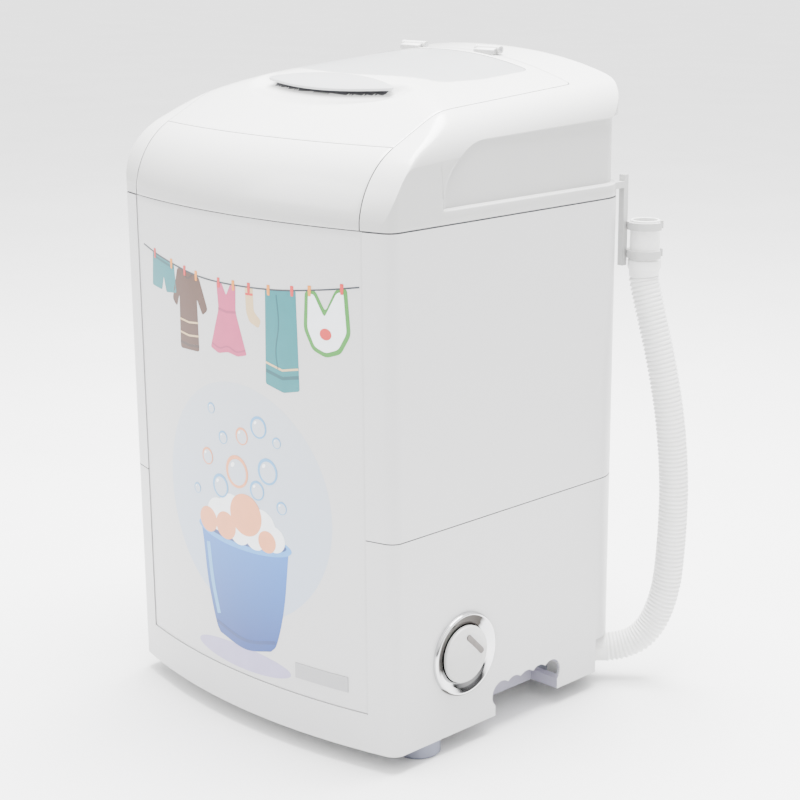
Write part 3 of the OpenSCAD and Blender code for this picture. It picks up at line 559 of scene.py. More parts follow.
def half_path(x0, step):
    """Right half of the plan, from x0 on the bow round to the middle of the rear.

    Each point is (x, y, normal x, normal y)."""
    r, big = FRONT_R, REAR_R
    cy = BOW_Y - sqrt((BOW_R - r) ** 2 - (HALF_W - r) ** 2)
    a0, a1 = asin(x0 / BOW_R), asin((HALF_W - r) / (BOW_R - r))
    out = []
    n = max(1, int((a1 - a0) * BOW_R / step))
    for i in range(n):
        a = a0 + (a1 - a0) * i / n
        out.append((BOW_R * sin(a), BOW_Y - BOW_R * cos(a), sin(a), -cos(a)))
    for i in range(10):
        b = a1 + (pi / 2 - a1) * i / 10
        out.append((HALF_W - r + r * sin(b), cy - r * cos(b), sin(b), -cos(b)))
    n = int((DEPTH - big - cy) / step)
    for i in range(n):
        out.append((HALF_W, cy + (DEPTH - big - cy) * i / n, 1.0, 0.0))
    for i in range(20):
        c = pi / 2 * i / 20
        out.append((HALF_W - big + big * cos(c), DEPTH - big + big * sin(c),
                    cos(c), sin(c)))
    n = int((HALF_W - big) / 6)
    for i in range(n + 1):
        out.append(((HALF_W - big) * (1 - i / n), DEPTH, 0.0, 1.0))
    return out


# ---------------------------------------------------------------- cap, cover and lid

SEAM_X = LID_HALF + 0.6
BAND_START, BAND_BEND, BAND_DEEP = 65.0, 57.0, 5.0
LID_CORNER = 5.0
GRIP = (85, 15, 104)
GRIP_GAP = (83, 13.5, 104)
DISH_HALF, DISH_DEEP = 101, 6.5
HINGE_X, HINGE_Y, HINGE_Z, PIN_R = 48, 258, 598, 3.5


def recess_at(y):
    """(depth, top) of the set-back band of the cap at this place along the side."""
    if y < BAND_START + 0.3:
        return 0.0, LEDGE_Z + 0.4
    end = BAND_START + BAND_BEND
    top = LEDGE_Z - 3 + BAND_BEND + max(0.0, y - end) * tan(radians(2))
    if y < end:
        top = LEDGE_Z - 3 + sqrt(max(BAND_BEND ** 2 - (end - y) ** 2, 0))
    if top < LEDGE_Z + 2.5:
        return 0.0, LEDGE_Z + 0.4
    return BAND_DEEP * ease((top - LEDGE_Z - 2.5) / 30), top


def cap_column(x, y, nx, ny, qx, qy):
    """Profile of the cap from its lower rim, up the wall and over to the lid seam."""
    def at(inset, z):
        return P(x - nx * inset, y - ny * inset, z)

    deep, top = recess_at(y)
    lo, hi = 0.0, 8.0
    crease = top if deep else cap_z(x - nx * 0.02, y - ny * 0.02) - 0.01
    edge = 0.0
    if deep and cap_z(x, y) < top:
        for _ in range(20):
            mid = (lo + hi) / 2
            lo, hi = (mid, hi) if cap_z(x - nx * mid, y - ny * mid) < top else (lo, mid)
        edge = hi
    rows = [at(3, SEAM_Z + 6), at(3, SEAM_Z + 0.2), at(0.7, SEAM_Z + 0.2), at(0.2, SEAM_Z + 0.5),
            at(0, SEAM_Z + 1.0)]
    band = SEAM_Z + 1.0
    if deep:
        k = deep / BAND_DEEP
        rows += [at(0, (SEAM_Z + LEDGE_Z) / 2), at(0, LEDGE_Z - 1.6)]
        for a in (30, 60, 90):
            c, s = cos(radians(a)), sin(radians(a))
            rows.append(at(1.6 * k * (1 - c), LEDGE_Z - 1.6 + 1.6 * s))
        rows += [at(deep * 0.8, LEDGE_Z + 0.25 * k), at(deep, LEDGE_Z + 0.7 * k)]
        for f in (0.15, 0.4, 0.65, 0.85):
            rows.append(at(deep, LEDGE_Z + 0.7 + f * (crease - 1.8 - LEDGE_Z - 0.7)))
        for a in (0, 30, 60, 90):
            c, s = cos(radians(a)), sin(radians(a))
            rows.append(at(deep - (deep - edge * k - 0.8 * k) * 0.45 * (1 - c),
                           crease - 1.8 * (1 - 0.9 * s)))
        rows += [at(edge + 0.9 * k, crease - 0.1), at(edge + 0.25 * k, crease + 0.15)]
    else:
        wall_top = min(crease, cap_z(x, y)) - 0.3
        for i in range(1, 18):
            rows.append(at(0, band + (wall_top - band) * i / 17))
    sx, sy = x - nx * (edge + 0.02), y - ny * (edge + 0.02)
    z0 = crease + 0.6 if deep else min(crease, cap_z(x, y)) + 0.1
    zt = cap_z(sx, sy)
    for f in (0.0, 0.33, 0.66):
        rows.append(P(sx, sy, z0 + f * (zt - z0)) if zt > z0 else P(sx, sy, zt))
    steps = 18
    for i in range(steps):
        f = 1 - cos(pi / 2 * i / steps)
        f = min(f, 0.985)
        px, py = sx + f * (qx - sx), sy + f * (qy - sy)
        rows.append(P(px, py, max(cap_z(px, py), min(zt, crease + 0.6)) if deep else cap_z(px, py)))
    zq = cap_z(qx, qy)
    rows += [P(qx, qy, zq - 0.15), P(qx, qy, zq - 0.5), P(qx, qy, zq - 4), P(qx, qy, zq - 9)]
    return rows


def make_cap_frame():
    """The cap round the lid, with painted shade on the faces in the gap beside the lid."""
    corner = LID_CORNER
    columns = []
    path = half_path(SEAM_X, 2.0)
    arc = [i for i, p in enumerate(path) if p[1] > LID_BACK - corner and p[0] > HALF_W - REAR_R + 0.01]
    first, last = arc[0], arc[-1] + 1
    for i, (x, y, nx, ny) in enumerate(path):
        if i < first:
            q = (SEAM_X, max(y, bow_y(SEAM_X)))
        elif i <= last:
            a = pi / 2 * (i - first) / (last - first)
            q = (SEAM_X - corner + corner * cos(a), LID_BACK + 0.6 - corner + corner * sin(a))
        else:
            q = (x * (SEAM_X - corner) / (HALF_W - REAR_R), LID_BACK + 0.6)
        columns.append(cap_column(x, y, nx, ny, *q))
    mirrored = [[Vector((-p.x, p.y, p.z)) for p in c] for c in reversed(columns[:-1])]
    columns += mirrored
    verts = [p for row in zip(*columns) for p in row]
    o = new_piece("cap_frame", verts, grid_faces(len(columns), len(columns[0])), M["gloss"], smooth=42)
    o.data.materials.append(M["shade"])
    # Painted shade on the cap's faces in the gap beside the lid.
    for f in o.data.polygons:
        c = f.center * 1000
        y = c.y - CORNER_Y
        inside_gap = abs(c.x) < SEAM_X + 0.02 and y < LID_BACK + 0.75
        if inside_gap and abs(f.normal.z) < 0.3 and c.z < cap_z(c.x, y) - 0.4:
            f.material_index = 1
    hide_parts("top_frame")


def make_cover():
    """The bowed cover between the front panel and the lid."""
    verts = []
    nx = 90
    ds = [0.0] + [LEAN_R - LEAN_X - LEAN_R * cos(radians(a)) for a in range(8, 62, 2)]
    ds = [d for d in ds if d < COVER_D - 0.8] + [COVER_D - 0.4]
    half = LID_HALF - 0.3
    xs = [half * (-1 + 2 * i / nx) for i in range(nx + 1)]
    rows = [(0.0, SEAM_Z + 0.25), (0.0, SEAM_Z + 2.5), (0.0, SEAM_Z + 5)] + [(d, None) for d in ds]
    for d, z in rows:
        for x in xs:
            y = bow_y(x, d)
            verts.append(P(x, y, cap_z(x, y) if z is None else z))
    o = new_piece("front_cover", verts, grid_faces(len(xs), len(rows)), M["gloss"], facing=(0, -1, 1))
    # The cover's edge faces take the dark gap material: painted shade in the seam round it.
    thicken(o, 3.0, 0.45, rim="gap")
    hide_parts("upper_front_cover")


def inside(poly, x, y):
    hit = False
    for (x0, y0), (x1, y1) in zip(poly, poly[1:] + poly[:1]):
        if (y0 > y) != (y1 > y) and x < (x1 - x0) * (y - y0) / (y1 - y0) + x0:
            hit = not hit
    return hit


def distance(poly, x, y):
    best = 1e9
    for (x0, y0), (x1, y1) in zip(poly, poly[1:] + poly[:1]):
        dx, dy = x1 - x0, y1 - y0
        t = max(0.0, min(1.0, ((x - x0) * dx + (y - y0) * dy) / (dx * dx + dy * dy + 1e-12)))
        best = min(best, hypot(x - x0 - t * dx, y - y0 - t * dy))
    return best


def resample(poly, step):
    out = []
    for (x0, y0), (x1, y1) in zip(poly, poly[1:] + poly[:1]):
        n = max(1, round(hypot(x1 - x0, y1 - y0) / step))
        out += [(x0 + (x1 - x0) * i / n, y0 + (y1 - y0) * i / n) for i in range(n)]
    return out


def soften(poly, r, steps=6):
    """A closed outline with its corners rounded by about r."""
    out = []
    n = len(poly)
    for i in range(n):
        a, b, c = Vector(poly[i - 1]), Vector(poly[i]), Vector(poly[(i + 1) % n])
        la, lc = (a - b).length, (c - b).length
        cut = min(r, la * 0.48, lc * 0.48)
        pa, pc = b + (a - b) * (cut / la), b + (c - b) * (cut / lc)
        for k in range(steps + 1):
            t = k / steps
            q = (1 - t) ** 2 * pa + 2 * t * (1 - t) * b + t ** 2 * pc
            out.append((q.x, q.y))
    return out


def fill(outer, holes=(), spacing=3.0, step=None):
    """Triangles of a flat outline with holes, with points inside it."""
    step = step or spacing
    loops = [resample(outer, step)] + [resample(h, step) for h in holes]
    verts, edges = [], []
    for loop in loops:
        base = len(verts)
        verts += loop
        edges += [(base + i, base + (i + 1) % len(loop)) for i in range(len(loop))]
    xs, ys = [v[0] for v in loops[0]], [v[1] for v in loops[0]]
    row, y = 0, min(ys) + spacing * 0.5
    while y < max(ys):
        x = min(xs) + spacing * (0.5 if row % 2 else 1.0)
        while x < max(xs):
            if inside(loops[0], x, y) and not any(inside(h, x, y) for h in loops[1:]) \
                    and min(distance(l, x, y) for l in loops) > spacing * 0.45:
                verts.append((x, y))
            x += spacing
        y += spacing * 0.87
        row += 1
    vs, _, fs, *_ = delaunay_2d_cdt([Vector(v) for v in verts], edges, [], 0, 1e-5)
    keep = []
    for f in fs:
        cx, cy = sum(vs[i].x for i in f) / 3, sum(vs[i].y for i in f) / 3
        if inside(loops[0], cx, cy) and not any(inside(h, cx, cy) for h in loops[1:]):
            keep.append(tuple(f))
    return [(v.x, v.y) for v in vs], keep


def arc_y(half_length, half_depth, y, x, front=True):
    """Front or rear edge of a pointed oval."""
    r = (half_length ** 2 + half_depth ** 2) / (2 * half_depth)
    drop = sqrt(max(r * r - x * x, 0)) - (r - half_depth)
    return y - drop if front else y + drop


def ease(u):
    u = max(0.0, min(1.0, u))
    return u * u * (3 - 2 * u)


def dish(x, y):
    """Depth of the finger dish in front of the lid handle and of the gap under it."""
    if abs(x) >= DISH_HALF:
        return 0.0
    rim = arc_y(DISH_HALF, 31, 93, x)
    grip = arc_y(*GRIP, x) if abs(x) < GRIP[0] else 104.0
    side = ease((DISH_HALF - abs(x)) / 24)
    if y < rim:
        return 0.0
    if y < grip:
        return DISH_DEEP * side * ease((y - rim) / max(grip - rim, 1)) ** 0.8
    return DISH_DEEP * side * (1 - ease((y - grip - 4) / 9))


def lid_outline(inset=0.0):
    half, back = LID_HALF - inset, LID_BACK - inset
    d = COVER_D + inset
    front = [(half * (-1 + 2 * i / 40), bow_y(half * (-1 + 2 * i / 40), d)) for i in range(41)]
    corner = LID_CORNER
    right = [(half - corner + corner * cos(a), back - corner + corner * sin(a))
             for a in (pi / 2 * i / 6 for i in range(7))]
    left = [(-x, y) for x, y in reversed(right)]
    return front + right + left


def window_outline(inset=0.0):
    front = [(x, 366 - sqrt(245 ** 2 - x * x)) for x in range(-88, 89, 8)]
    shape = front + [(101, 143), (110, 184), (110, 245), (-110, 245), (-110, 184), (-101, 143)]
    shape = soften(shape, 9)
    if not inset:
        return shape
    out = []
    for a, b, c in zip(shape[-1:] + shape[:-1], shape, shape[1:] + shape[:1]):
        t = Vector((c[0] - a[0], c[1] - a[1]))
        if t.length < 1e-6:
            continue
        t.normalize()
        out.append((b[0] - t.y * inset, b[1] + t.x * inset))
    return out


def make_lid():
    """The lid's top with its window and handle. The floor of the gap under the handle has painted shade."""
    pts, tris = fill(lid_outline(), [window_outline()], 3.0, 2.6)
    verts = [P(x, y, cap_z(x, y) - dish(x, y)) for x, y in pts]
    lid = new_piece("lid_top", verts, tris, M["gloss"], "lid", smooth=60, facing=(0, 0, 1))
    lid.data.materials.append(M["gap"])
    # Painted shade on the lid's floor under the handle.
    for f in lid.data.polygons:
        c = f.center * 1000
        x, y = c.x, c.y - CORNER_Y
        if abs(x) < 72 and arc_y(*GRIP_GAP, round(x)) + 3.0 < y < arc_y(*GRIP_GAP, x, False):
            f.material_index = 1
    thicken(lid, 3.0, 0.4)
    for f in lid.data.polygons:
        if f.normal.z < 0.2:
            f.material_index = 0
    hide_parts("lid_panel")

    pts, tris = fill(window_outline(0.35), [], 5.0, 2.6)
    verts = [P(x, y, cap_z(x, y) - 0.35) for x, y in pts]
    o = new_piece("lid_window_pane", verts, tris, M["window"], "lid", facing=(0, 0, 1))
    # The pane's edge faces take the shaded edge material: painted shade round the window.
    thicken(o, 2.2, 0.4, rim="shade")
    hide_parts("lid_window")

    edge = [(x, arc_y(*GRIP, x)) for x in range(-80, 81, 4)]
    edge += [(x, arc_y(*GRIP, x, False)) for x in range(80, -81, -4)]
    pts, tris = fill(soften(edge, 3, 3), [], 3.0, 2.5)
    verts = []
    for x, y in pts:
        crown = 1.4 * (1 - (abs(y - GRIP[2]) / GRIP[1]) ** 2 * 0.6 - (abs(x) / GRIP[0]) ** 2 * 0.35)
        verts.append(P(x, y, cap_z(x, y) + max(crown, 0.15)))
    o = new_piece("lid_handle_plate", verts, tris, M["handle"], "lid", 60, (0, 0, 1))
    thicken(o, 2.4, 0.6, segments=3)
    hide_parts("lid_handle")
    make_lid_underside()


def make_lid_underside():
    """Rim under the lid, and the knuckles, leaves and ears of its hinge."""
    ring = resample(lid_outline(1.2), 4.0)
    verts = []
    for inset, drop in ((0, 3.0), (0, 10.5), (2.2, 10.5), (2.2, 3.0)):
        for x, y in ring:
            v = Vector((-x, 150 - y)).normalized() * inset
            verts.append(P(x + v.x, y + v.y, cap_z(x, y) - drop))
    new_piece("lid_rim", verts, grid_faces(len(ring), 4, True), M["gloss"], "lid", smooth=30)
    knuckle = rounded([(0.01, 0), (PIN_R, 0), (PIN_R, 24), (0.01, 24)], 0.5)
    ear = rounded([(0.01, -1.5), (PIN_R, -1.5), (PIN_R, 1.5), (0.01, 1.5)], 0.5)
    for side, mark in ((-HINGE_X, "l"), (HINGE_X, "r")):
        lathe("lid_knuckle_" + mark, knuckle, P(side - 12, HINGE_Y, HINGE_Z), (1, 0, 0),
              M["gloss"], "lid", 40)
        leaf = [(side - 12, 250), (side + 12, 250), (side + 12, HINGE_Y), (side - 12, HINGE_Y)]
        verts = [P(x, y, z) for z in (593.5, 600.2) for x, y in leaf]
        verts[4:6] = [P(x, y, HINGE_Z) for x, y in leaf[:2]]
        faces = [(0, 1, 2, 3), (4, 5, 6, 7), (0, 1, 5, 4), (1, 2, 6, 5), (2, 3, 7, 6), (3, 0, 4, 7)]
        block = new_piece("lid_leaf_" + mark, verts, faces, M["gloss"], "lid", smooth=30)
        b = block.modifiers.new("edge", "BEVEL")
        b.width, b.segments = 0.0006, 2
        apply_modifiers(block)
        for x, end in ((side - 13.8, "a"), (side + 13.8, "b")):
            lathe("hinge_ear_" + mark + end, ear, P(x, HINGE_Y, HINGE_Z), (1, 0, 0),
                  M["gloss"], "cabinet", 40)


def make_well():
    """Wall round the opening under the lid, down to the deck of the tub."""
    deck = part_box("wash_tub")[1].z * 1000
    ring = resample(lid_outline(-0.7), 4.0)
    n = len(ring)
    verts = []
    for outset, upper in ((0, False), (0, True), (2.2, True), (2.2, False), (0, False)):
        for i, (x, y) in enumerate(ring):
            a, b = ring[i - 1], ring[(i + 1) % n]
            t = Vector((b[0] - a[0], b[1] - a[1])).normalized()
            px, py = x + t.y * outset, y - t.x * outset
            top = max(deck + 2, cap_z(x, y) - 4)
            verts.append(P(px, py, top if upper else deck + 0.3))
    o = new_piece("lid_well", verts, grid_faces(n, 5, True), M["gloss"], smooth=30)
    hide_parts("top_frame")


# ---------------------------------------------------------------- front panel

def make_front_panel():
    """The bowed panel that carries the prints."""
    xs = [-PANEL_HALF + 0.25 + (2 * PANEL_HALF - 0.5) * i / 120 for i in range(121)]
    zs = [SKIRT_Z + 0.5 + (SEAM_Z - SKIRT_Z - 0.9) * i / 60 for i in range(61)]
    verts = [P(x, bow_y(x, PANEL_SET), z) for z in zs for x in xs]
    o = new_piece("bowed_front", verts, grid_faces(len(xs), len(zs)), M["shell"], facing=(0, -1, 0))
    # The panel's edge faces take the dark gap material: painted shade in the seam round it.
    thicken(o, 2.9, 0.5, rim="gap")
    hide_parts("front_panel")


# ---------------------------------------------------------------- printed front

def oval(cx, cz, rx, rz, n=40, turn=0.0):
    c, s = cos(radians(turn)), sin(radians(turn))
    out = []
    for k in range(n):
        a = 2 * pi * k / n
        u, w = rx * cos(a), rz * sin(a)
        out.append((cx + u * c - w * s, cz + u * s + w * c))
    return out


def stroke(points, width):
    """A line of even width through the points."""
    left, right = [], []
    for i, p in enumerate(points):
        a, b = Vector(points[max(i - 1, 0)]), Vector(points[min(i + 1, len(points) - 1)])
        t = (b - a).normalized()
        n = Vector((-t.y, t.x)) * width / 2
        left.append((p[0] + n.x, p[1] + n.y))
        right.append((p[0] - n.x, p[1] - n.y))
    return left + right[::-1]


def smooth_line(points, steps):
    """Points of a smooth line through the given ones, with so many steps between each two."""
    pts = [Vector(p) for p in points]
    ext = [2 * pts[0] - pts[1]] + pts + [2 * pts[-1] - pts[-2]]
    out = []
    for p0, p1, p2, p3 in zip(ext, ext[1:], ext[2:], ext[3:]):
        for k in range(steps):
            t = k / steps
            out.append(0.5 * ((2 * p1) + (p2 - p0) * t + (2 * p0 - 5 * p1 + 4 * p2 - p3) * t * t
                              + (3 * p1 - p0 - 3 * p2 + p3) * t ** 3))
    return out + [pts[-1]]


def curve(points, steps):
    """A smooth flat line, as (x, z) pairs."""
    return [(q.x, q.y) for q in smooth_line(points, steps)]


PRINTS = {}


def printed(key, shape, layer):
    """Notes an (x, z) outline to print in an ink. A higher layer lies on top."""
    PRINTS.setdefault(key, []).append((shape, layer))


def build_prints():
    """One thin piece for each ink, on the bowed front."""
    for key, shapes in PRINTS.items():
        verts, faces = [], []
        for shape, layer in shapes:
            pts, tris = fill(shape, [], 9.0, 3.0)
            base = len(verts)
            depth = PANEL_SET - 0.07 * layer
            verts += [P(x, bow_y(x, depth), z) for x, z in pts]
            for f in tris:
                (ax, az), (bx, bz), (cx, cz) = (pts[i] for i in f[:3])
                turn = (bx - ax) * (cz - az) - (bz - az) * (cx - ax)
                faces.append(tuple(base + i for i in (f if turn > 0 else f[::-1])))
        me = bpy.data.meshes.new("print_" + key)
        me.from_pydata([tuple(v) for v in verts], [], faces)
        me.materials.append(INKS[key])
        for p in me.polygons:
            p.use_smooth = True
        o = bpy.data.objects.new("print_" + key, me)
        bpy.context.scene.collection.objects.link(o)
        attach(o, "cabinet")
        thicken(o, 0.3, 0, even=False)


INKS = {}
INK_COLOURS = {
    "rope": (0.02, 0.025, 0.035),
    "teal": (0.002, 0.15, 0.17),
    "teal_dark": (0.001, 0.07, 0.085),
    "brown": (0.062, 0.02, 0.008),
    "brown_dark": (0.035, 0.014, 0.008),
    "pink": (0.44, 0.045, 0.14),
    "pink_dark": (0.30, 0.03, 0.10),
    "cream": (0.52, 0.38, 0.20),
    "green": (0.03, 0.20, 0.018),
    "peg": (0.62, 0.20, 0.01),
    "peg_red": (0.50, 0.02, 0.02),
    "basin_rim": (0.05, 0.25, 0.60),
    "basin_dark": (0.003, 0.03, 0.16),
    "peach": (0.68, 0.25, 0.11),
    "bubble": (0.09, 0.30, 0.56),
    "shadow": (0.34, 0.31, 0.48),
}


def make_inks():
    for key, color in INK_COLOURS.items():
        INKS[key] = ink("print_" + key, color)
    INKS["foam"] = ink("print_foam", (0.74, 0.77, 0.80), 0.03)
    INKS["glint"] = ink("print_glint", (0.83, 0.85, 0.86), 0.02)
    INKS["disc"] = faded_ink("print_disc", (0.38, 0.45, 0.56), (0.46, 0.49, 0.53), 107, 327)
    INKS["basin"] = faded_ink("print_basin", (0.002, 0.04, 0.22), (0.012, 0.14, 0.48), 86, 190)


def make_prints():
    """Clothes on a line over a basin of foam and bubbles."""
    make_inks()
    line = curve([(-138, 428), (-104, 421), (-48, 413), (0, 411.5), (60, 414), (110, 420), (147, 426)], 6)

    def hang(x):
        """Height of the line at x."""
        for (x0, z0), (x1, z1) in zip(line, line[1:]):
            if x0 <= x <= x1:
                return z0 + (z1 - z0) * (x - x0) / (x1 - x0)
        return line[-1][1]

    printed("rope", stroke(line, 1.3), 4)
    # short trousers
    printed("teal", soften([(-120, hang(-120)), (-82, hang(-82)), (-79, 392), (-97, 390), (-101, 404),
                            (-105, 391), (-123, 393)], 2, 3), 2)
    printed("teal_dark", stroke([(x, hang(x) - 3.5) for x in (-119, -101, -83)], 2), 3)
    # brown jumper
    printed("brown", soften([(-86, 386), (-76, hang(-76) - 1), (-68, hang(-68)), (-52, hang(-52)),
                             (-42, hang(-42) - 1), (-30, 384), (-38, 378), (-46, 392), (-45, 344),
                             (-75, 343), (-74, 392), (-79, 380)], 3, 3), 2)
    printed("brown_dark", stroke([(-75, 349), (-60, 347.5), (-45, 349)], 2.4), 3)
    collar = curve([(-68, hang(-68) - 1), (-60, hang(-60) - 6), (-52, hang(-52) - 1)], 5)
    printed("brown_dark", stroke(collar, 1.8), 3)
    for z in (358, 370):
        printed("cream", stroke([(-74.5, z), (-60, z - 1.5), (-45.2, z)], 1.6), 3)
    # pink dress
    printed("pink", soften([(-16, hang(-16)), (-9, hang(-9)), (-3, 401), (3, hang(3)), (10, hang(10)),
                            (9, 388), (22, 352), (10, 349), (-3, 351), (-16, 348), (-27, 352),
                            (-14, 388)], 2, 3), 2)
    printed("pink_dark", stroke([(-14.5, 388), (-3, 386.5), (9.5, 388)], 2.2), 3)
    hem = curve([(-25, 356), (-14, 353), (-3, 356), (9, 353), (20.5, 356)], 5)
    printed("pink_dark", stroke(hem, 1.4), 3)
    # sock
    printed("cream", soften([(22, hang(22)), (32, hang(32)), (32.5, 392), (41, 385), (38, 378), (27, 382),
                             (23, 390)], 2.5, 4), 2)
    printed("peg_red", stroke([(22.4, hang(22) - 6), (32, hang(32) - 6)], 2), 3)
    # towel
    printed("teal", soften([(47, hang(47)), (82, hang(82)), (84, 330), (66, 326), (45, 331)], 2, 3), 2)
    printed("teal_dark", stroke([(45.6, 343), (65, 338.5), (83.4, 342)], 3), 3)
    printed("cream", stroke([(45.6, 350), (65, 345.5), (83.2, 349)], 1.8), 3)
    printed("teal_dark", stroke(curve([(60, hang(60) - 4), (62, 385), (58, 362), (60, 346)], 6), 1.2), 3)
    # bib
    printed("green", soften([(92, hang(92)), (103, hang(103)), (113, 402), (124, hang(124)),
                             (135, hang(135)), (138, 385), (128, 368), (113, 363), (99, 368),
                             (90, 385)], 4, 4), 2)
    printed("foam", soften([(95.5, hang(95) - 3), (101, hang(101) - 3), (112, 397), (125, hang(125) - 3),
                            (131.5, hang(131) - 3), (134, 386), (125.5, 371.5), (113, 367), (101.5, 371),
                            (94, 386)], 3.5, 4), 3)
    printed("peg_red", oval(113, 383, 6, 5), 4)
    # pegs
    for i, x in enumerate((-116, -86, -64, -46, -13, 7, 27, 51, 78, 97, 130)):
        z = hang(x)
        peg = [(x - 1.8, z + 4), (x + 1.8, z + 4), (x + 1.4, z - 5), (x - 1.4, z - 5)]
        printed("peg" if i % 2 else "peg_red", soften(peg, 0.8, 3), 5)
    # basin with foam and bubbles in front of a pale disc
    printed("disc", oval(8, 217, 108, 108, 96), 1)
    printed("shadow", oval(2, 68, 64, 11, 56), 1)
    body = [(-52, 184)] + curve([(-50, 176), (-44, 130), (-34, 94), (-28, 84)], 5)[1:]
    body += curve([(-28, 84), (8, 77), (42, 84)], 6)[1:]
    body += curve([(42, 84), (50, 94), (60, 130), (67, 184)], 5)[1:]
    printed("basin", soften(body, 2, 2), 2)
    printed("basin_dark", stroke(curve([(-33, 94), (8, 86), (48, 94)], 8), 3.2), 3)
    printed("bubble", stroke(curve([(-42, 168), (-37, 132), (-29, 102)], 6), 5), 3)
    printed("basin_rim", oval(7.5, 184, 63, 12, 64), 3)
    printed("basin_dark", oval(7.5, 185.5, 57, 8.5, 56), 4)
    foam = [(-40, 190, 13), (-24, 198, 17), (-5, 203, 20), (14, 206, 21), (34, 199, 18), (50, 191, 13),
            (-14, 190, 14), (5, 190, 15), (26, 189, 14), (41, 187, 11)]
    for i, (x, z, r) in enumerate(foam):
        printed("foam" if i % 3 else "peach", oval(x, z, r, r * 0.92, 36), 5 if i % 3 else 6)
    bubbles = [(-20, 226, 11), (4, 244, 15), (30, 232, 9), (44, 252, 12), (-38, 250, 8), (12, 278, 8),
               (-14, 272, 6), (34, 290, 10), (60, 222, 6), (-56, 216, 5), (56, 280, 5), (-30, 296, 5)]
    for x, z, r in bubbles:
        key = "peach" if r in (15, 8) else "bubble"
        printed(key, oval(x, z, r, r, 40), 6)
        printed("disc", oval(x + 0.4, z - 0.4, r * 0.80, r * 0.80, 36), 7)
        printed("glint", oval(x - r * 0.35, z + r * 0.38, r * 0.2, r * 0.13, 16, 40), 8)
    build_prints()


# ---------------------------------------------------------------- drain hose

HOSE_R, RIB_PITCH, RIB_DEEP = 14.0, 4.1, 1.5
ROUTE = [(160.62, 294.12, 32), (169, 302.5, 32), (180, 313.5, 35), (190, 323, 42), (198, 331, 55),
         (204, 336, 73), (208, 340, 96), (210, 342, 125), (211, 343, 160), (211, 343, 195), (209, 342, 230),
         (206, 340, 262), (201, 338, 293), (195, 336, 322), (188, 334, 350), (181, 332.5, 376),
         (177, 332, 392), (177, 332, 401)]


def make_hose():
    """The corrugated hose along its route, smooth at both ends, and the cuff of its nozzle."""
    line = smooth_line(ROUTE, 24)
    run = [0.0]
    for a, b in zip(line, line[1:]):
        run.append(run[-1] + (b - a).length)
    total = run[-1]
    sides = 40
    stations, s = [], 0.0
    while s < total:
        stations.append(s)
        s += RIB_PITCH / 8
    stations.append(total)
    verts, j = [], 0
    ref = Vector((0, 1, 0))
    for s in stations:
        while j < len(line) - 2 and run[j + 1] < s:
            j += 1
        t = (s - run[j]) / max(run[j + 1] - run[j], 1e-9)
        c = line[j].lerp(line[j + 1], min(t, 1))
        a, b = line[max(j - 3, 0)], line[min(j + 4, len(line) - 1)]
        d = (b - a).normalized()
        if s < 12:
            d = (Vector((1, 1, 0)).normalized() * (12 - s) + d * s).normalized()
        if total - s < 9:
            k = (total - s) / 9
            d = (Vector((0, 0, 1)) * (1 - k) + d * k).normalized()
        u = d.cross(ref).normalized()
        v = d.cross(u)
        wave = 0.5 - 0.5 * cos(2 * pi * s / RIB_PITCH)
        r = HOSE_R - RIB_DEEP * (1 - wave ** 0.8)
        if s < 9:
            r = HOSE_R - 0.5
        if total - s < 7:
            r = HOSE_R - 0.4 * ease((total - s) / 7)
        for k in range(sides):
            a = 2 * pi * k / sides
            verts.append(P(*(c + r * (cos(a) * u + sin(a) * v))))
    faces = grid_faces(sides, len(stations), True)
    o = new_piece("corrugated_hose", verts, faces, M["hose"], "cabinet", 80)
    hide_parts("drain_hose")
    prof = rounded([(11, 0), (15.2, 0), (15.5, 4), (15.5, 8.6), (14.0, 9.6), (13.9, 30), (13.7, 45.6),
                    (11.4, 45.8), (11.2, 44), (11, 20), (11, 0)], 0.7)
    prof[-1] = prof[0]
    cuff = lathe("hose_nozzle_cuff", prof, P(*ROUTE[-1]), (0, 0, 1), M["hose"], "cabinet",
                 64)
    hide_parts("hose_nozzle", "hose_collar")


# ---------------------------------------------------------------- dial

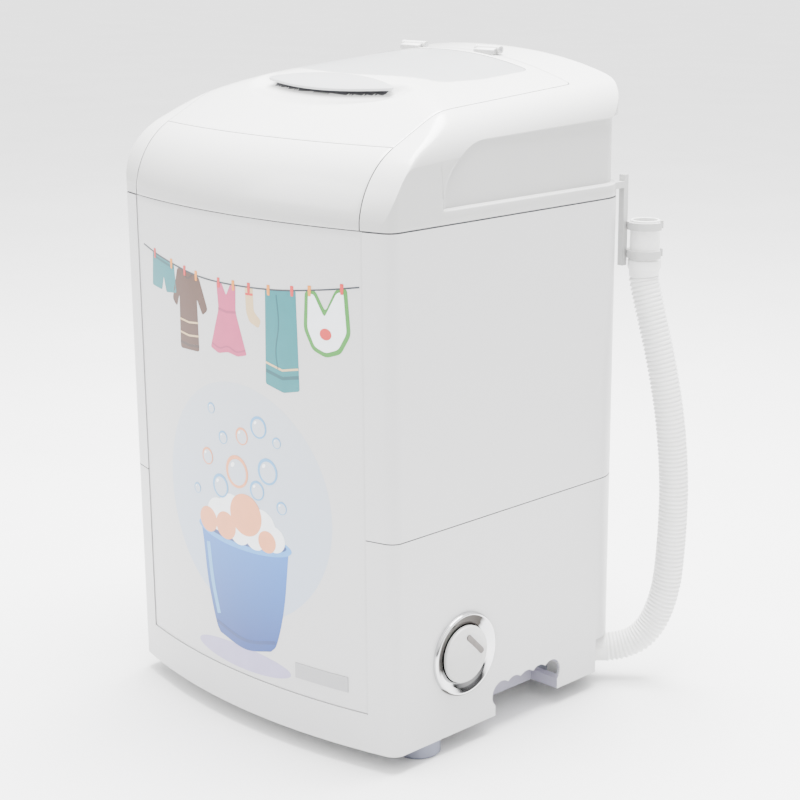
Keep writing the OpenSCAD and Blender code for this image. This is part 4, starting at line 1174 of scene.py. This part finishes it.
def make_dial():
    """Chrome ring, white knob and the bar on it, turned from the dial's axis."""
    centre = P(HALF_W, 91, 90)
    band = [(26.9, 0.05), (27.0, 0.5), (27.6, 0.8), (31.0, 2.3), (35.8, 3.95), (36.9, 4.0), (37.8, 3.1),
            (38.4, 1.2), (38.5, 0.05)]
    ring = lathe("dial_ring", rounded(band, 0.6), centre, (1, 0, 0), M["chrome"], "cabinet", 128)
    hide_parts("dial_bezel")
    face = [(0.01, 6.9), (10, 6.7), (20, 5.7), (25.6, 4.2), (26.3, 2.6), (26.3, 0.5), (0.01, 0.5)]
    knob = lathe("dial_knob", rounded(face, 1.1), centre, (1, 0, 0), M["gloss"], "knob", 128)
    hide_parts("timer_knob")

    length, width, off_centre, lean = 14.0, 2.9, 11.5, radians(45)
    outline = []
    for cx, a0 in ((length - width, -90), (-(length - width), 90)):
        for i in range(11):
            a = radians(a0 + 18 * i)
            outline.append((cx + width * cos(a), width * sin(a)))

    def spot(u, w, h):
        """A point at u along the bar, w across it and h out of the dial."""
        w += off_centre
        ry = u * cos(lean) + w * sin(lean)
        rz = -u * sin(lean) + w * cos(lean)
        return centre + Vector((h, ry, rz)) * 0.001

    levels = ((1.0, 5.0), (1.0, 6.2), (0.92, 6.85), (0.7, 7.0))
    verts = [spot(u * (1 - (1 - scale) * 0.25), w * scale, h) for scale, h in levels for u, w in outline]
    n = len(outline)
    faces = grid_faces(n, 4, True) + [tuple(range(3 * n, 4 * n))]
    bar = new_piece("dial_pointer", verts, faces, M["pointer"], "knob", 50)
    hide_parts("knob_pointer")


# ---------------------------------------------------------------- carried CAD nodes

CAD_FINISH = {
    "shell": "upper_shell lower_shell rear_access_cover",
    "gloss": "hose_bracket hose_clips",
    "badge": "badge_plate",
    "tub": "wash_tub bearing_housing",
    "matte": "base_pan run_capacitor drain_strainer lint_filter",
    "foot": "rubber_feet",
    "bronze": "upper_bush lower_bush",
    "rubber": "shaft_seal motor_cushions inner_drain_hose drive_belt window_seal lid_bumpers",
    "motor": "motor_shell",
    "copper": "stator_windings",
    "black": "timer_body wiring_loom cord_gland",
    "hose": "drain_spigot",
    "pulsator": "pulsator",
    "pulley": "drum_pulley motor_pulley",
    "net": "filter_net",
}


def dress_cad():
    """Materials of the carried CAD nodes, with painted shade in the seams and the hand pockets of the
    shells.
    """
    finish = {name: key for key, names in CAD_FINISH.items() for name in names.split()}
    for name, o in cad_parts.items():
        o.data.materials.clear()
        o.data.materials.append(M[finish.get(name, "steel")])
        for p in o.data.polygons:
            p.use_smooth = True
        o.data.set_sharp_from_angle(angle=radians(28))
        if name in ("upper_shell", "lower_shell"):
            o.data.materials.append(M["gap"])
            o.data.materials.append(M["pocket"])
            for p in o.data.polygons:
                c = p.center * 1000
                seam = min(abs(c.z - MID_Z + 0.45), abs(c.z - SEAM_Z + 0.45))
                # Painted shade in the hand pockets under the sides.
                if name == "lower_shell" and RIM_Z + 0.2 < c.z < 47 and 127 < c.y - CORNER_Y < 223 \
                        and 138 < abs(c.x) < HALF_W - 1.5:
                    p.material_index = 2
                # Painted shade in the seams of the shells.
                if seam < 0.44 or (seam < 0.5 and abs(p.normal.z) > 0.9 and p.area < 2e-4):
                    p.material_index = 1


make_materials()
make_camera()
make_hose()
make_studio()
dress_cad()
make_cap_frame()
make_cover()
make_lid()
make_front_panel()
make_prints()
make_well()
make_dial()
